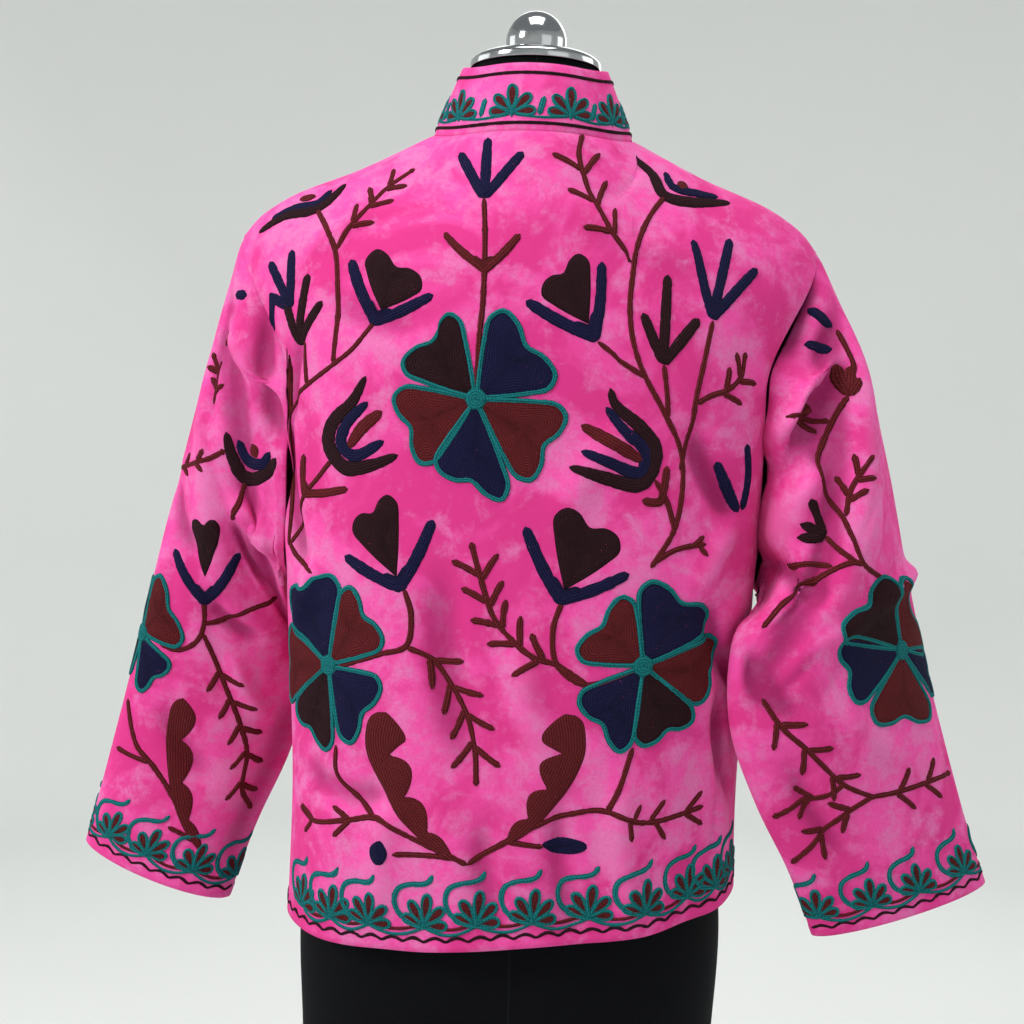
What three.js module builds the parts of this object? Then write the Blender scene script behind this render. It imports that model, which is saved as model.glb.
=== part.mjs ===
// Velvet suzani jacket on a limbless dress form, in millimetres, +Z up.
// The origin is the centre of the stand's underside. The jacket's back faces -Y and its fronts
// face +Y. Every cloth piece is a thin wall whose outer face is worked out by a formula.
import * as THREE from 'three';
import { mergeVertices } from 'three/addons/utils/BufferGeometryUtils.js';

// Cloth and seams
const WALL = 2;
const SEAM = 0.3;
const COLLAR_SEAM = 0.5;

// Heights of the jacket
const UNDERARM_Z = 1055;
const CHEST_Z = 1200;
const TIP_Z = 1349;
const NECK_Z = 1434;

// Widths of the jacket
const SHOULDER_HALF = 246;
const NECK_HALF = 86;
const ARMHOLE_DEPTH = 62;
const SQUARENESS = 2.5;

// Neck seam, collar and front opening
const NECK_RING = { back: 80, front: 74 };
const NECK_SLOPE = 0.49;
const NECK_RISE = { back: 39, front: -10 };
const COLLAR_TOP = { half: 63, back: 61, front: 60 };
const COLLAR_HEIGHT = 57;
const FRONT_OPEN = { neck: 0.8, hem: 9 };

// Body of the jacket: half width and depths at each height
const BODY = [
  { z: 740, half: 199, back: 151, front: 130 },
  { z: 870, half: 196, back: 147, front: 128 },
  { z: 960, half: 199, back: 143, front: 126 },
  { z: 1055, half: 204, back: 137, front: 124 },
  { z: 1130, half: 201, back: 131, front: 122 },
  { z: 1200, half: 200, back: 126, front: 118 },
];

// Height of the hem from the left side seam (-1) to the right one (1)
const HEM = [
  { across: -1, back: 766, front: 766 },
  { across: -0.5, back: 770, front: 770 },
  { across: 0, back: 780, front: 777 },
  { across: 0.5, back: 786, front: 786 },
  { across: 1, back: 800, front: 800 },
];

// Shoulder line from the form's neck to the dropped shoulder tip
const SHOULDER = [
  { x: 54, z: 1449 },
  { x: 86, z: 1434 },
  { x: 145, z: 1405 },
  { x: 200, z: 1383 },
  { x: 228, z: 1366 },
  { x: 246, z: 1349 },
];

// Soft flutes of the body: place across a panel, half width there, depth in millimetres
// (below zero sinks in) and the height where each one fades out
const BACK_FLUTES = [
  { across: -0.8, half: 0.12, depth: 4, top: 1010 },
  { across: -0.52, half: 0.13, depth: -4, top: 960 },
  { across: -0.08, half: 0.2, depth: 3, top: 900 },
  { across: 0.3, half: 0.14, depth: -3, top: 930 },
  { across: 0.72, half: 0.09, depth: -5, top: 1050 },
  { across: 0.86, half: 0.07, depth: 4, top: 1040 },
];
const FRONT_FLUTES = [
  { across: -0.74, half: 0.12, depth: -4, top: 1000 },
  { across: -0.42, half: 0.13, depth: 5, top: 960 },
  { across: 0.4, half: 0.14, depth: 5, top: 980 },
  { across: 0.72, half: 0.11, depth: -4, top: 1020 },
];

// Sleeves: where the outer and the inner edge lie at each section, and half the thickness.
// The left one hangs a little to the front, the right one over the side of the back.
const SLEEVE_RIGHT = [
  { along: 0, outX: 246, outY: 0, outZ: 1349, inX: 204, inY: 0, inZ: 1055, thick: 62 },
  { along: 0.16, outX: 279, outY: -8, outZ: 1266, inX: 202, inY: -42, inZ: 1046, thick: 56 },
  { along: 0.34, outX: 309, outY: -14, outZ: 1163, inX: 180, inY: -98, inZ: 1032, thick: 46 },
  { along: 0.5, outX: 333, outY: -20, outZ: 1066, inX: 172, inY: -109, inZ: 996, thick: 38 },
  { along: 0.64, outX: 355, outY: -25, outZ: 985, inX: 176, inY: -110, inZ: 944, thick: 33 },
  { along: 0.77, outX: 377, outY: -28, outZ: 912, inX: 200, inY: -102, inZ: 884, thick: 28 },
  { along: 0.89, outX: 396, outY: -31, outZ: 853, inX: 232, inY: -86, inZ: 824, thick: 25 },
  { along: 1, outX: 414, outY: -33, outZ: 804, inX: 257, inY: -72, inZ: 766, thick: 23 },
];
const SLEEVE_LEFT = [
  { along: 0, outX: 246, outY: 0, outZ: 1349, inX: 204, inY: 0, inZ: 1055, thick: 62 },
  { along: 0.16, outX: 272, outY: 5, outZ: 1262, inX: 209, inY: 10, inZ: 1040, thick: 56 },
  { along: 0.34, outX: 299, outY: 10, outZ: 1163, inX: 208, inY: 36, inZ: 1018, thick: 47 },
  { along: 0.5, outX: 324, outY: 16, outZ: 1066, inX: 202, inY: 62, inZ: 982, thick: 41 },
  { along: 0.64, outX: 345, outY: 22, outZ: 980, inX: 198, inY: 72, inZ: 932, thick: 38 },
  { along: 0.77, outX: 366, outY: 28, outZ: 900, inX: 213, inY: 66, inZ: 872, thick: 36 },
  { along: 0.89, outX: 382, outY: 34, outZ: 842, inX: 240, inY: 48, inZ: 808, thick: 35 },
  { along: 1, outX: 395, outY: 38, outZ: 794, inX: 261, inY: 34, inZ: 744, thick: 34 },
];

// Sleeve folds: start and end along the sleeve and round it (0 underarm, 0.25 back, 0.5 outer
// edge, 0.75 front), half width round it and depth in millimetres
const FOLDS_RIGHT = [
  { from: 0.04, to: 0.42, start: 0.36, end: 0.12, half: 0.055, depth: -9 },
  { from: 0.1, to: 0.5, start: 0.41, end: 0.22, half: 0.05, depth: 7 },
  { from: 0.3, to: 0.6, start: 0.22, end: 0.07, half: 0.05, depth: -6 },
  { from: 0.08, to: 0.4, start: 0.62, end: 0.85, half: 0.055, depth: -8 },
  { from: 0.45, to: 0.8, start: 0.66, end: 0.8, half: 0.055, depth: -6 },
];
const FOLDS_LEFT = [
  { from: 0.05, to: 0.36, start: 0.4, end: 0.16, half: 0.055, depth: -9 },
  { from: 0.2, to: 0.52, start: 0.42, end: 0.26, half: 0.055, depth: 7 },
  { from: 0.26, to: 0.5, start: 0.22, end: 0.06, half: 0.05, depth: -7 },
  { from: 0.08, to: 0.42, start: 0.64, end: 0.86, half: 0.055, depth: -8 },
  { from: 0.62, to: 0.98, start: 0.1, end: 0.08, half: 0.055, depth: -6 },
];
const BODY_CLEARANCE = 6;

// Dress form and its stand
const FORM = [
  { z: 640, half: 184, back: 114, front: 108 },
  { z: 760, half: 187, back: 118, front: 108 },
  { z: 900, half: 168, back: 104, front: 98 },
  { z: 980, half: 156, back: 98, front: 96 },
  { z: 1100, half: 172, back: 108, front: 106 },
  { z: 1200, half: 180, back: 108, front: 102 },
];
const FORM_SHOULDER = { half: 192, droop: 34, squareness: 2.3, seat: 0.35, neckEase: 6 };
const FORM_NECK = { radius: 54, back: 10, front: 0, top: 1491 };
const FORM_FOOT = { z: 632, inset: 10 };
const CAP = { radius: 56, z: 1491.3, rim: 5, rise: 9 };
const FINIAL = { radius: 26, stem: 24 };
const POLE = { radius: 16, bottom: 32, top: 631.7 };
const BASE = { radius: 170, edge: 9, rise: 22, hub: 20 };

// Facets
const STEPS = { hemRows: 8, armRows: 4, topRows: 8, neck: 10, shoulder: 8, half: 5, sleeve: 19 };
const NUDGE = 0.002;
const QUARTER = Math.PI / 2;

// Value of one column of a table at a place between its rows, along a smooth curve.
function column(rows, key, name, at) {
  const last = rows.length - 1;
  if (at <= rows[0][key]) {
    return rows[0][name];
  }
  if (at >= rows[last][key]) {
    return rows[last][name];
  }
  let i = 0;
  while (at > rows[i + 1][key]) {
    i += 1;
  }
  const slope = (k) => {
    const low = rows[Math.max(k - 1, 0)];
    const high = rows[Math.min(k + 1, last)];
    return (high[name] - low[name]) / (high[key] - low[key]);
  };
  const span = rows[i + 1][key] - rows[i][key];
  const u = (at - rows[i][key]) / span;
  const rise = u * u * (3 - 2 * u);
  const start = slope(i) * span * u * (1 - u) * (1 - u);
  const end = slope(i + 1) * span * u * u * (u - 1);
  return rows[i][name] * (1 - rise) + rows[i + 1][name] * rise + start + end;
}

// 0 below low, 1 above high, smooth between them.
function ease(low, high, at) {
  const u = THREE.MathUtils.clamp((at - low) / (high - low), 0, 1);
  return u * u * (3 - 2 * u);
}

// Round hump of height 1 that fades out at twice its half width.
function hump(at, centre, half) {
  const u = (at - centre) / half;
  return Math.exp(-u * u);
}

// Depth of a body section at the fraction g of its half width. The section is part of a
// superellipse that reaches the edge depth where g is 1 or -1.
function sectionDepth(g, centreDepth, edgeDepth, power) {
  const edge = 1 - (edgeDepth / centreDepth) ** power;
  return centreDepth * Math.max(1 - edge * Math.abs(g) ** power, 0) ** (1 / power);
}

// Depth of the armhole seam from the shoulder plane at a height.
function armholeDepth(z) {
  const c = THREE.MathUtils.clamp((CHEST_Z - z) / (CHEST_Z - UNDERARM_Z), 0, 1);
  return ARMHOLE_DEPTH * Math.sqrt(1 - c * c);
}

// Height of a row of the panels: from the hem to the underarm, on to the chest along a quarter
// circle of angles, and then over the shoulder, where the row is an angle instead.
function rowPlace(row, hem) {
  const { hemRows, armRows, topRows } = STEPS;
  if (row <= hemRows) {
    return { z: hem + ((UNDERARM_Z - hem) * row) / hemRows, over: 0 };
  }
  if (row <= hemRows + armRows) {
    const angle = (QUARTER * (row - hemRows)) / armRows;
    return { z: CHEST_Z - (CHEST_Z - UNDERARM_Z) * Math.cos(angle), over: 0 };
  }
  return { z: CHEST_Z, over: (row - hemRows - armRows) / topRows };
}

// Upper end of a strip of the shoulder dome: on the shoulder line, or on the neck ring where
// the strip ends nearer the middle than the neck. turn is the angle that it sweeps, and peak
// the height that it would reach at the shoulder plane.
function stripEnd(x, depth, neck) {
  const side = Math.abs(x) / neck.half;
  if (side >= 1) {
    return { peak: neck.ridge(Math.abs(x)), turn: QUARTER };
  }
  const inward = 1 - side * side;
  const climb = (NECK_SLOPE * neck.half * inward) / 2 + neck.rise * inward * inward;
  const turn = Math.acos(THREE.MathUtils.clamp((neck.depth * Math.sqrt(inward)) / depth, 0, 1));
  return { peak: neck.ridge(neck.half) + climb, turn };
}

function shoulderLine(x) {
  return column(SHOULDER, 'x', 'z', x);
}

function flutes(list, g, z) {
  let sum = 0;
  for (const flute of list) {
    const fade = 1 - ease(UNDERARM_Z - 260, flute.top, z);
    sum += flute.depth * hump(g, flute.across, flute.half) * fade;
  }
  return sum * (1 - g ** 8);
}

function jacketNeck(side) {
  const rise = NECK_RISE[side];
  return { half: NECK_HALF, depth: NECK_RING[side], rise, ridge: shoulderLine };
}

// Height of the neck seam at a place across, at the back or the front.
function neckSeamHeight(side, x) {
  const last = BODY.length - 1;
  const depth = sectionDepth(x / SHOULDER_HALF, BODY[last][side], ARMHOLE_DEPTH, SQUARENESS);
  const end = stripEnd(x, depth, jacketNeck(side));
  return CHEST_Z + (end.peak - CHEST_Z) * Math.sin(end.turn);
}

// Point of the jacket's body at the fraction g across (-1 left to 1 right) and at a row.
// side is back or front.
function bodyPoint(side, g, row) {
  const sign = side === 'back' ? -1 : 1;
  const place = rowPlace(row, column(HEM, 'across', side, g));
  const half = column(BODY, 'z', 'half', place.z);
  const centre = column(BODY, 'z', side, place.z);
  const depth = sectionDepth(g, centre, armholeDepth(place.z), SQUARENESS);
  let x = g * half;
  let y = sign * depth;
  let z = place.z;
  if (place.over > 0) {
    const end = stripEnd(g * SHOULDER_HALF, depth, jacketNeck(side));
    const angle = place.over * end.turn;
    const share = Math.sin(angle) / Math.sin(end.turn);
    x += g * (SHOULDER_HALF - half) * ease(0.15, 1, share);
    y = sign * depth * Math.cos(angle);
    z = CHEST_Z + (end.peak - CHEST_Z) * Math.sin(angle);
  } else {
    const out = flutes(side === 'back' ? BACK_FLUTES : FRONT_FLUTES, g, z);
    y += sign * out * Math.min(1, 1.4 - Math.abs(g));
    x += Math.sign(g) * out * Math.abs(g) ** 4;
  }
  return new THREE.Vector3(x, y + (sign * SEAM) / 2, z);
}

// Point of a front: as the body's, pushed off the middle by the open front edge.
function frontPoint(hand, g, row) {
  const point = bodyPoint('front', hand * g, row);
  const rise = ease(HEM[0].front, NECK_Z, point.z);
  const open = FRONT_OPEN.hem + (FRONT_OPEN.neck - FRONT_OPEN.hem) * rise;
  point.x += hand * open * (1 - g);
  return point;
}

// Point of the armhole seam at a turn round it: 0 underarm, 0.25 back, 0.5 shoulder tip,
// 0.75 front.
function armholePoint(hand, turn) {
  const back = turn <= 0.5;
  const share = back ? 2 * turn : 2 * (1 - turn);
  const row = STEPS.hemRows + share * (STEPS.armRows + STEPS.topRows);
  return bodyPoint(back ? 'back' : 'front', hand, row);
}

// Directions of the body's panel at a turn round the armhole seam: out of its face, and over
// its edge, away from it.
function armholeEdge(hand, turn) {
  const back = turn <= 0.5;
  const share = back ? 2 * turn : 2 * (1 - turn);
  const row = STEPS.hemRows + share * (STEPS.armRows + STEPS.topRows);
  const limits = { u0: -1, u1: 1, v0: STEPS.hemRows, v1: ROWS.length - 1 };
  const surface = (g, at) => bodyPoint(back ? 'back' : 'front', g, at);
  const face = outward(surface, hand * (1 - NUDGE), row, limits, 1);
  if (face.x * hand + face.z < 0) {
    face.negate();
  }
  const before = armholePoint(hand, Math.max(turn - NUDGE, 0));
  const seam = armholePoint(hand, Math.min(turn + NUDGE, 1)).sub(before).normalize();
  const over = seam.cross(face).normalize().multiplyScalar(hand);
  return { face, over };
}

// Moves a sleeve point out of the body's side, to lie clear of it.
function clearOfBody(point, clearance) {
  if (point.z > TIP_Z) {
    return point;
  }
  const side = point.y < 0 ? 'back' : 'front';
  const half = column(BODY, 'z', 'half', point.z);
  const centre = column(BODY, 'z', side, point.z);
  const edge = 1 - (armholeDepth(point.z) / centre) ** SQUARENESS;
  const wide = half / edge ** (1 / SQUARENESS) + clearance;
  const deep = centre + clearance;
  const inside = (Math.abs(point.x) / wide) ** SQUARENESS + (Math.abs(point.y) / deep) ** SQUARENESS;
  if (inside >= 1) {
    return point;
  }
  const out = inside ** (-1 / SQUARENESS);
  return new THREE.Vector3(point.x * out, point.y * out, point.z);
}

// Ring of a sleeve section: an ellipse between its inner and outer edges.
function sectionPoint(rows, hand, along, turn) {
  const at = (name) => column(rows, 'along', name, along);
  const outer = new THREE.Vector3(hand * at('outX'), at('outY'), at('outZ'));
  const inner = new THREE.Vector3(hand * at('inX'), at('inY'), at('inZ'));
  const centre = outer.clone().add(inner).multiplyScalar(0.5);
  const reach = outer.clone().sub(centre);
  const down = new THREE.Vector3(hand * 0.25, 0, -1);
  const back = new THREE.Vector3().crossVectors(reach, down).normalize();
  back.multiplyScalar(back.y < 0 ? 1 : -1);
  const angle = 2 * Math.PI * turn;
  centre.addScaledVector(reach, -Math.cos(angle));
  return centre.addScaledVector(back, Math.sin(angle) * at('thick'));
}

// Point of a sleeve: its section, drawn to the armhole seam at its upper end.
function sleevePoint(rows, hand, turn, along) {
  const wrapped = turn - Math.floor(turn);
  const point = sectionPoint(rows, hand, along, wrapped);
  const seam = armholePoint(hand, wrapped).sub(sectionPoint(rows, hand, 0, wrapped));
  const fade = 1 - ease(0, 0.34, along);
  point.addScaledVector(seam, fade);
  return clearOfBody(point, BODY_CLEARANCE * ease(0, 0.12, along));
}

function sleeveFold(list, turn, along) {
  let sum = 0;
  for (const fold of list) {
    const share = THREE.MathUtils.clamp((along - fold.from) / (fold.to - fold.from), 0, 1);
    const centre = fold.start + (fold.end - fold.start) * share;
    const ends = ease(fold.from - 0.03, fold.from + 0.1, along);
    const fade = ends * (1 - ease(fold.to - 0.1, fold.to + 0.05, along));
    sum += fold.depth * hump(turn, centre, fold.half) * fade;
  }
  return sum * ease(0, 0.1, along);
}

// Direction out of a surface given by a function of two parameters.
function outward(surface, u, v, limits, flip) {
  const low = new THREE.Vector2(Math.max(u - NUDGE, limits.u0), Math.max(v - NUDGE, limits.v0));
  const high = new THREE.Vector2(Math.min(u + NUDGE, limits.u1), Math.min(v + NUDGE, limits.v1));
  const alongU = surface(high.x, v).sub(surface(low.x, v));
  const alongV = surface(u, high.y).sub(surface(u, low.y));
  return alongU.cross(alongV).normalize().multiplyScalar(flip);
}

// Closed mesh from a grid of outer points, a grid of inner points and the faces between their
// edges. A ring joins its last column to its first.
function wallGeometry(outer, inner, ring) {
  const rows = outer.length;
  const columns = outer[0].length;
  const positions = [];
  for (const point of [...outer.flat(), ...inner.flat()]) {
    positions.push(point.x, point.y, point.z);
  }
  const index = [];
  const at = (layer, row, col) => layer * rows * columns + row * columns + (col % columns);
  const quad = (a, b, c, d) => index.push(a, b, c, a, c, d);
  const spans = ring ? columns : columns - 1;
  for (let r = 0; r < rows - 1; r += 1) {
    for (let c = 0; c < spans; c += 1) {
      quad(at(0, r, c), at(0, r, c + 1), at(0, r + 1, c + 1), at(0, r + 1, c));
      quad(at(1, r, c), at(1, r + 1, c), at(1, r + 1, c + 1), at(1, r, c + 1));
    }
  }
  for (let c = 0; c < spans; c += 1) {
    quad(at(0, 0, c + 1), at(0, 0, c), at(1, 0, c), at(1, 0, c + 1));
    quad(at(0, rows - 1, c), at(0, rows - 1, c + 1), at(1, rows - 1, c + 1), at(1, rows - 1, c));
  }
  if (!ring) {
    for (let r = 0; r < rows - 1; r += 1) {
      quad(at(0, r, 0), at(0, r + 1, 0), at(1, r + 1, 0), at(1, r, 0));
      const end = columns - 1;
      quad(at(0, r + 1, end), at(0, r, end), at(1, r, end), at(1, r + 1, end));
    }
  }
  return solidGeometry(positions, index);
}

function solidGeometry(positions, index) {
  const geometry = new THREE.BufferGeometry();
  geometry.setAttribute('position', new THREE.Float32BufferAttribute(positions, 3));
  geometry.setIndex(index);
  const merged = mergeVertices(geometry, 1e-3);
  const kept = [];
  const old = merged.index.array;
  for (let i = 0; i < old.length; i += 3) {
    const [a, b, c] = [old[i], old[i + 1], old[i + 2]];
    if (a !== b && b !== c && c !== a) {
      kept.push(a, b, c);
    }
  }
  merged.setIndex(kept);
  merged.computeVertexNormals();
  return merged;
}

// Cloth wall over a grid. us are the places across and vs the places along.
function clothGeometry(surface, us, vs, options) {
  const { ring = false, flip = 1, relief = () => 0, firstRow = null } = options;
  const spread = ring ? Infinity : 0;
  const limits = {
    u0: us[0] - spread,
    u1: us[us.length - 1] + spread,
    v0: vs[0],
    v1: vs[vs.length - 1],
  };
  const outer = [];
  const inner = [];
  for (const v of vs) {
    const outerRow = [];
    const innerRow = [];
    for (const u of us) {
      const normal = outward(surface, u, v, limits, flip);
      const point = surface(u, v).addScaledVector(normal, relief(u, v));
      if (firstRow && v === vs[0]) {
        firstRow(u, point, normal);
      }
      outerRow.push(point);
      innerRow.push(point.clone().addScaledVector(normal, -WALL));
    }
    outer.push(outerRow);
    inner.push(innerRow);
  }
  return wallGeometry(outer, inner, ring);
}

function steps(count, low, high, curve = (share) => share) {
  return Array.from({ length: count + 1 }, (_, i) => low + (high - low) * curve(i / count));
}

// Places across a panel from the neck corner to the side, closer together near the side.
function shoulderPlaces() {
  const corner = NECK_HALF / SHOULDER_HALF;
  return steps(STEPS.shoulder, corner, 1, (share) => Math.sin(share * QUARTER));
}

const ROWS = steps(STEPS.hemRows + STEPS.armRows + STEPS.topRows, 0,
  STEPS.hemRows + STEPS.armRows + STEPS.topRows);

function backGeometry() {
  const corner = NECK_HALF / SHOULDER_HALF;
  const right = shoulderPlaces();
  const left = right.map((place) => -place).reverse();
  const middle = steps(STEPS.neck, -corner, corner, (s) => (1 - Math.cos(s * Math.PI)) / 2);
  const places = [...left, ...middle.slice(1, -1), ...right];
  return clothGeometry((g, row) => bodyPoint('back', g, row), places, ROWS, {});
}

function frontGeometry(hand) {
  const corner = NECK_HALF / SHOULDER_HALF;
  const middle = steps(STEPS.half, 0, corner, (share) => Math.sin(share * QUARTER));
  const places = [...middle, ...shoulderPlaces().slice(1)];
  const surface = (g, row) => frontPoint(hand, g, row);
  const geometry = clothGeometry(surface, places, ROWS, { flip: -hand });
  return hand > 0 ? turnedInsideOut(geometry) : geometry;
}

function turnedInsideOut(geometry) {
  const index = geometry.index.array;
  for (let i = 0; i < index.length; i += 3) {
    [index[i + 1], index[i + 2]] = [index[i + 2], index[i + 1]];
  }
  geometry.computeVertexNormals();
  return geometry;
}

// Parts the sleeve's first row from the panel's edge by a seam, and turns its wall so that
// neither face of it leans over that edge.
function seatOnArmhole(hand, turn, point, normal) {
  const { face, over } = armholeEdge(hand, turn);
  normal.addScaledVector(over, -Math.max(normal.dot(over), 0)).normalize();
  const folded = (1 - normal.dot(face)) / 2;
  point.addScaledVector(over, SEAM * (1 - folded) + SEAM / 3);
  point.addScaledVector(face, 3 * SEAM * folded);
}

function sleeveGeometry(rows, folds, hand) {
  const around = 2 * (STEPS.armRows + STEPS.topRows);
  const turns = steps(around, 0, 1).slice(0, -1);
  const along = steps(STEPS.sleeve, 0, 1);
  const surface = (turn, at) => sleevePoint(rows, hand, turn, at);
  const relief = (turn, at) => sleeveFold(folds, turn, at);
  const firstRow = (turn, point, normal) => seatOnArmhole(hand, turn, point, normal);
  const options = { ring: true, flip: -hand, relief, firstRow };
  const geometry = clothGeometry(surface, turns, along, options);
  return hand > 0 ? turnedInsideOut(geometry) : geometry;
}

// Point of the collar: turn goes from the right front edge (0) round the back to the left
// front edge (1), rise goes from the neck seam to the top edge.
function collarPoint(turn, rise) {
  const gap = FRONT_OPEN.neck / NECK_HALF;
  const round = QUARTER - 2 * Math.PI * turn;
  const angle = THREE.MathUtils.clamp(round, gap - 3 * QUARTER, QUARTER - gap);
  const front = Math.sin(angle) > 0;
  const part = front ? 'front' : 'back';
  const across = NECK_HALF + (COLLAR_TOP.half - NECK_HALF) * rise;
  const deep = NECK_RING[part] + (COLLAR_TOP[part] - NECK_RING[part]) * rise;
  const foot = neckSeamHeight(part, NECK_HALF * Math.cos(angle)) + COLLAR_SEAM;
  const shift = front ? SEAM / 2 : -SEAM / 2;
  const x = across * Math.cos(angle);
  const y = deep * Math.sin(angle) + shift * Math.abs(Math.sin(angle));
  return new THREE.Vector3(x, y, foot + COLLAR_HEIGHT * rise);
}

function collarGeometry() {
  const places = steps(2 * STEPS.neck, 0, 1);
  return turnedInsideOut(clothGeometry(collarPoint, places, steps(4, 0, 1), { flip: -1 }));
}

// Point of the dress form's torso at a strip and row. The strip goes round from the right
// side over the back to the left side and on over the front.
function formPoint(strip, row) {
  const { x: g, sign } = strip;
  const side = sign < 0 ? 'back' : 'front';
  const z = Math.min(row.z, CHEST_Z);
  const half = column(FORM, 'z', 'half', z);
  const depth = sectionDepth(g, column(FORM, 'z', side, z), 0, FORM_SHOULDER.squareness);
  const inset = row.z < FORM[0].z ? 1 - FORM_FOOT.inset / half : 1;
  if (!row.over) {
    return new THREE.Vector3(g * half * inset, sign * depth * inset, row.z);
  }
  const ridge = (x) => {
    const droop = FORM_SHOULDER.droop * (x / FORM_SHOULDER.half) ** 16;
    const clear = FORM_SHOULDER.neckEase * (1 - ease(NECK_HALF, NECK_HALF + 30, x));
    return shoulderLine(x) - WALL - FORM_SHOULDER.seat - droop - clear;
  };
  const neck = { half: FORM_NECK.radius, depth: FORM_NECK.radius, rise: FORM_NECK[side], ridge };
  const end = stripEnd(g * FORM_SHOULDER.half, depth, neck);
  const angle = row.over * end.turn;
  const share = Math.sin(angle) / Math.sin(end.turn);
  const x = g * (half + (FORM_SHOULDER.half - half) * ease(0, 1, share));
  const height = CHEST_Z + (end.peak - CHEST_Z) * Math.sin(angle);
  return new THREE.Vector3(x, sign * depth * Math.cos(angle), height);
}

function formGeometry() {
  const corner = FORM_NECK.radius / FORM_SHOULDER.half;
  const right = steps(6, corner, 1, (share) => Math.sin(share * QUARTER));
  const middle = steps(6, -corner, corner, (share) => (1 - Math.cos(share * Math.PI)) / 2);
  const back = [...right.slice().reverse(), ...middle.slice(1, -1).reverse(),
    ...right.map((g) => -g)];
  const strips = [...back.map((x) => ({ x, sign: -1 })),
    ...back.slice(1, -1).reverse().map((x) => ({ x, sign: 1 }))];
  const heights = [FORM_FOOT.z, ...steps(9, FORM[0].z, CHEST_Z)];
  const levels = [...heights.map((z) => ({ z, over: 0 })),
    ...steps(8, 0, 1).slice(1).map((over) => ({ z: CHEST_Z, over }))];
  const rings = levels.map((row) => strips.map((strip) => formPoint(strip, row)));
  const isNeck = strips.map((strip) => Math.abs(strip.x) < corner + NUDGE);
  return loftGeometry(rings, isNeck);
}

// Closed body through rings: a flat foot, the walls, and a neck of constant section that
// rises from the strips that end on the neck ring.
function loftGeometry(rings, isNeck) {
  const count = rings[0].length;
  const positions = rings.flat().flatMap((p) => [p.x, p.y, p.z]);
  const index = [];
  for (let r = 0; r < rings.length - 1; r += 1) {
    for (let c = 0; c < count; c += 1) {
      const next = (c + 1) % count;
      const [a, b] = [r * count + c, r * count + next];
      index.push(a, b + count, b, a, a + count, b + count);
    }
  }
  const push = (x, y, z) => positions.push(x, y, z) / 3 - 1;
  const foot = push(0, 0, FORM_FOOT.z);
  const crown = push(0, 0, FORM_NECK.top);
  const last = (rings.length - 1) * count;
  const raised = rings[rings.length - 1].map((p) => push(p.x, p.y, FORM_NECK.top));
  for (let c = 0; c < count; c += 1) {
    const next = (c + 1) % count;
    index.push(foot, c, next);
    if (isNeck[c] && isNeck[next]) {
      index.push(last + c, raised[next], last + next);
      index.push(last + c, raised[c], raised[next]);
      index.push(crown, raised[next], raised[c]);
    }
  }
  return trimmed(solidGeometry(positions, index));
}

// Drops vertices that no face uses.
function trimmed(geometry) {
  const plain = geometry.toNonIndexed();
  plain.deleteAttribute('normal');
  const merged = mergeVertices(plain, 1e-4);
  merged.computeVertexNormals();
  return merged;
}

// Turned piece from a profile of radius and height pairs that starts and ends on the axis.
function turned(profile, segments) {
  const points = profile.map(([radius, height]) => new THREE.Vector2(radius, height));
  const geometry = new THREE.LatheGeometry(points, segments);
  geometry.rotateX(QUARTER);
  geometry.deleteAttribute('uv');
  geometry.deleteAttribute('normal');
  return solidGeometry(Array.from(geometry.attributes.position.array),
    Array.from(geometry.index.array));
}

function capGeometry() {
  const crown = steps(4, 0, QUARTER).map((a) => [
    FINIAL.stem + (CAP.radius - FINIAL.stem) * Math.cos(a),
    CAP.z + CAP.rim + CAP.rise * Math.sin(a),
  ]);
  return turned([[0, CAP.z], [CAP.radius - 2, CAP.z], ...crown, [0, CAP.z + CAP.rim + CAP.rise]], 40);
}

function finialGeometry() {
  const foot = CAP.z + CAP.rim + CAP.rise + SEAM;
  const low = -Math.acos(FINIAL.stem / FINIAL.radius);
  const centre = foot - FINIAL.radius * Math.sin(low);
  const arc = steps(12, low, QUARTER).map((a) => [
    Math.max(FINIAL.radius * Math.cos(a), 0),
    centre + FINIAL.radius * Math.sin(a),
  ]);
  arc[arc.length - 1][0] = 0;
  return turned([[0, foot], ...arc], 28);
}

function poleGeometry() {
  return turned([[0, POLE.bottom], [POLE.radius, POLE.bottom], [POLE.radius, POLE.top],
    [0, POLE.top]], 24);
}

function baseGeometry() {
  const slope = steps(5, 0, QUARTER).map((a) => [
    BASE.hub + (BASE.radius - BASE.hub) * Math.cos(a) ** 1.4,
    BASE.edge + BASE.rise * Math.sin(a) ** 2,
  ]);
  const top = POLE.bottom - SEAM;
  return turned([[0, 0], [BASE.radius - 2, 0], [BASE.radius, 2], ...slope, [BASE.hub, top], [0, top]], 48);
}

function cloth() {
  return new THREE.MeshStandardMaterial({ color: 0xe0609f, roughness: 0.85, metalness: 0 });
}

function jersey() {
  return new THREE.MeshStandardMaterial({ color: 0x151518, roughness: 0.9, metalness: 0 });
}

function chrome() {
  return new THREE.MeshStandardMaterial({ color: 0xd6d8dc, roughness: 0.12, metalness: 1 });
}

const jacket = new THREE.Group();
jacket.name = 'suzani_jacket_on_dress_form';

function add(name, geometry, material) {
  const mesh = new THREE.Mesh(geometry, material);
  mesh.name = name;
  jacket.add(mesh);
}

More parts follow.
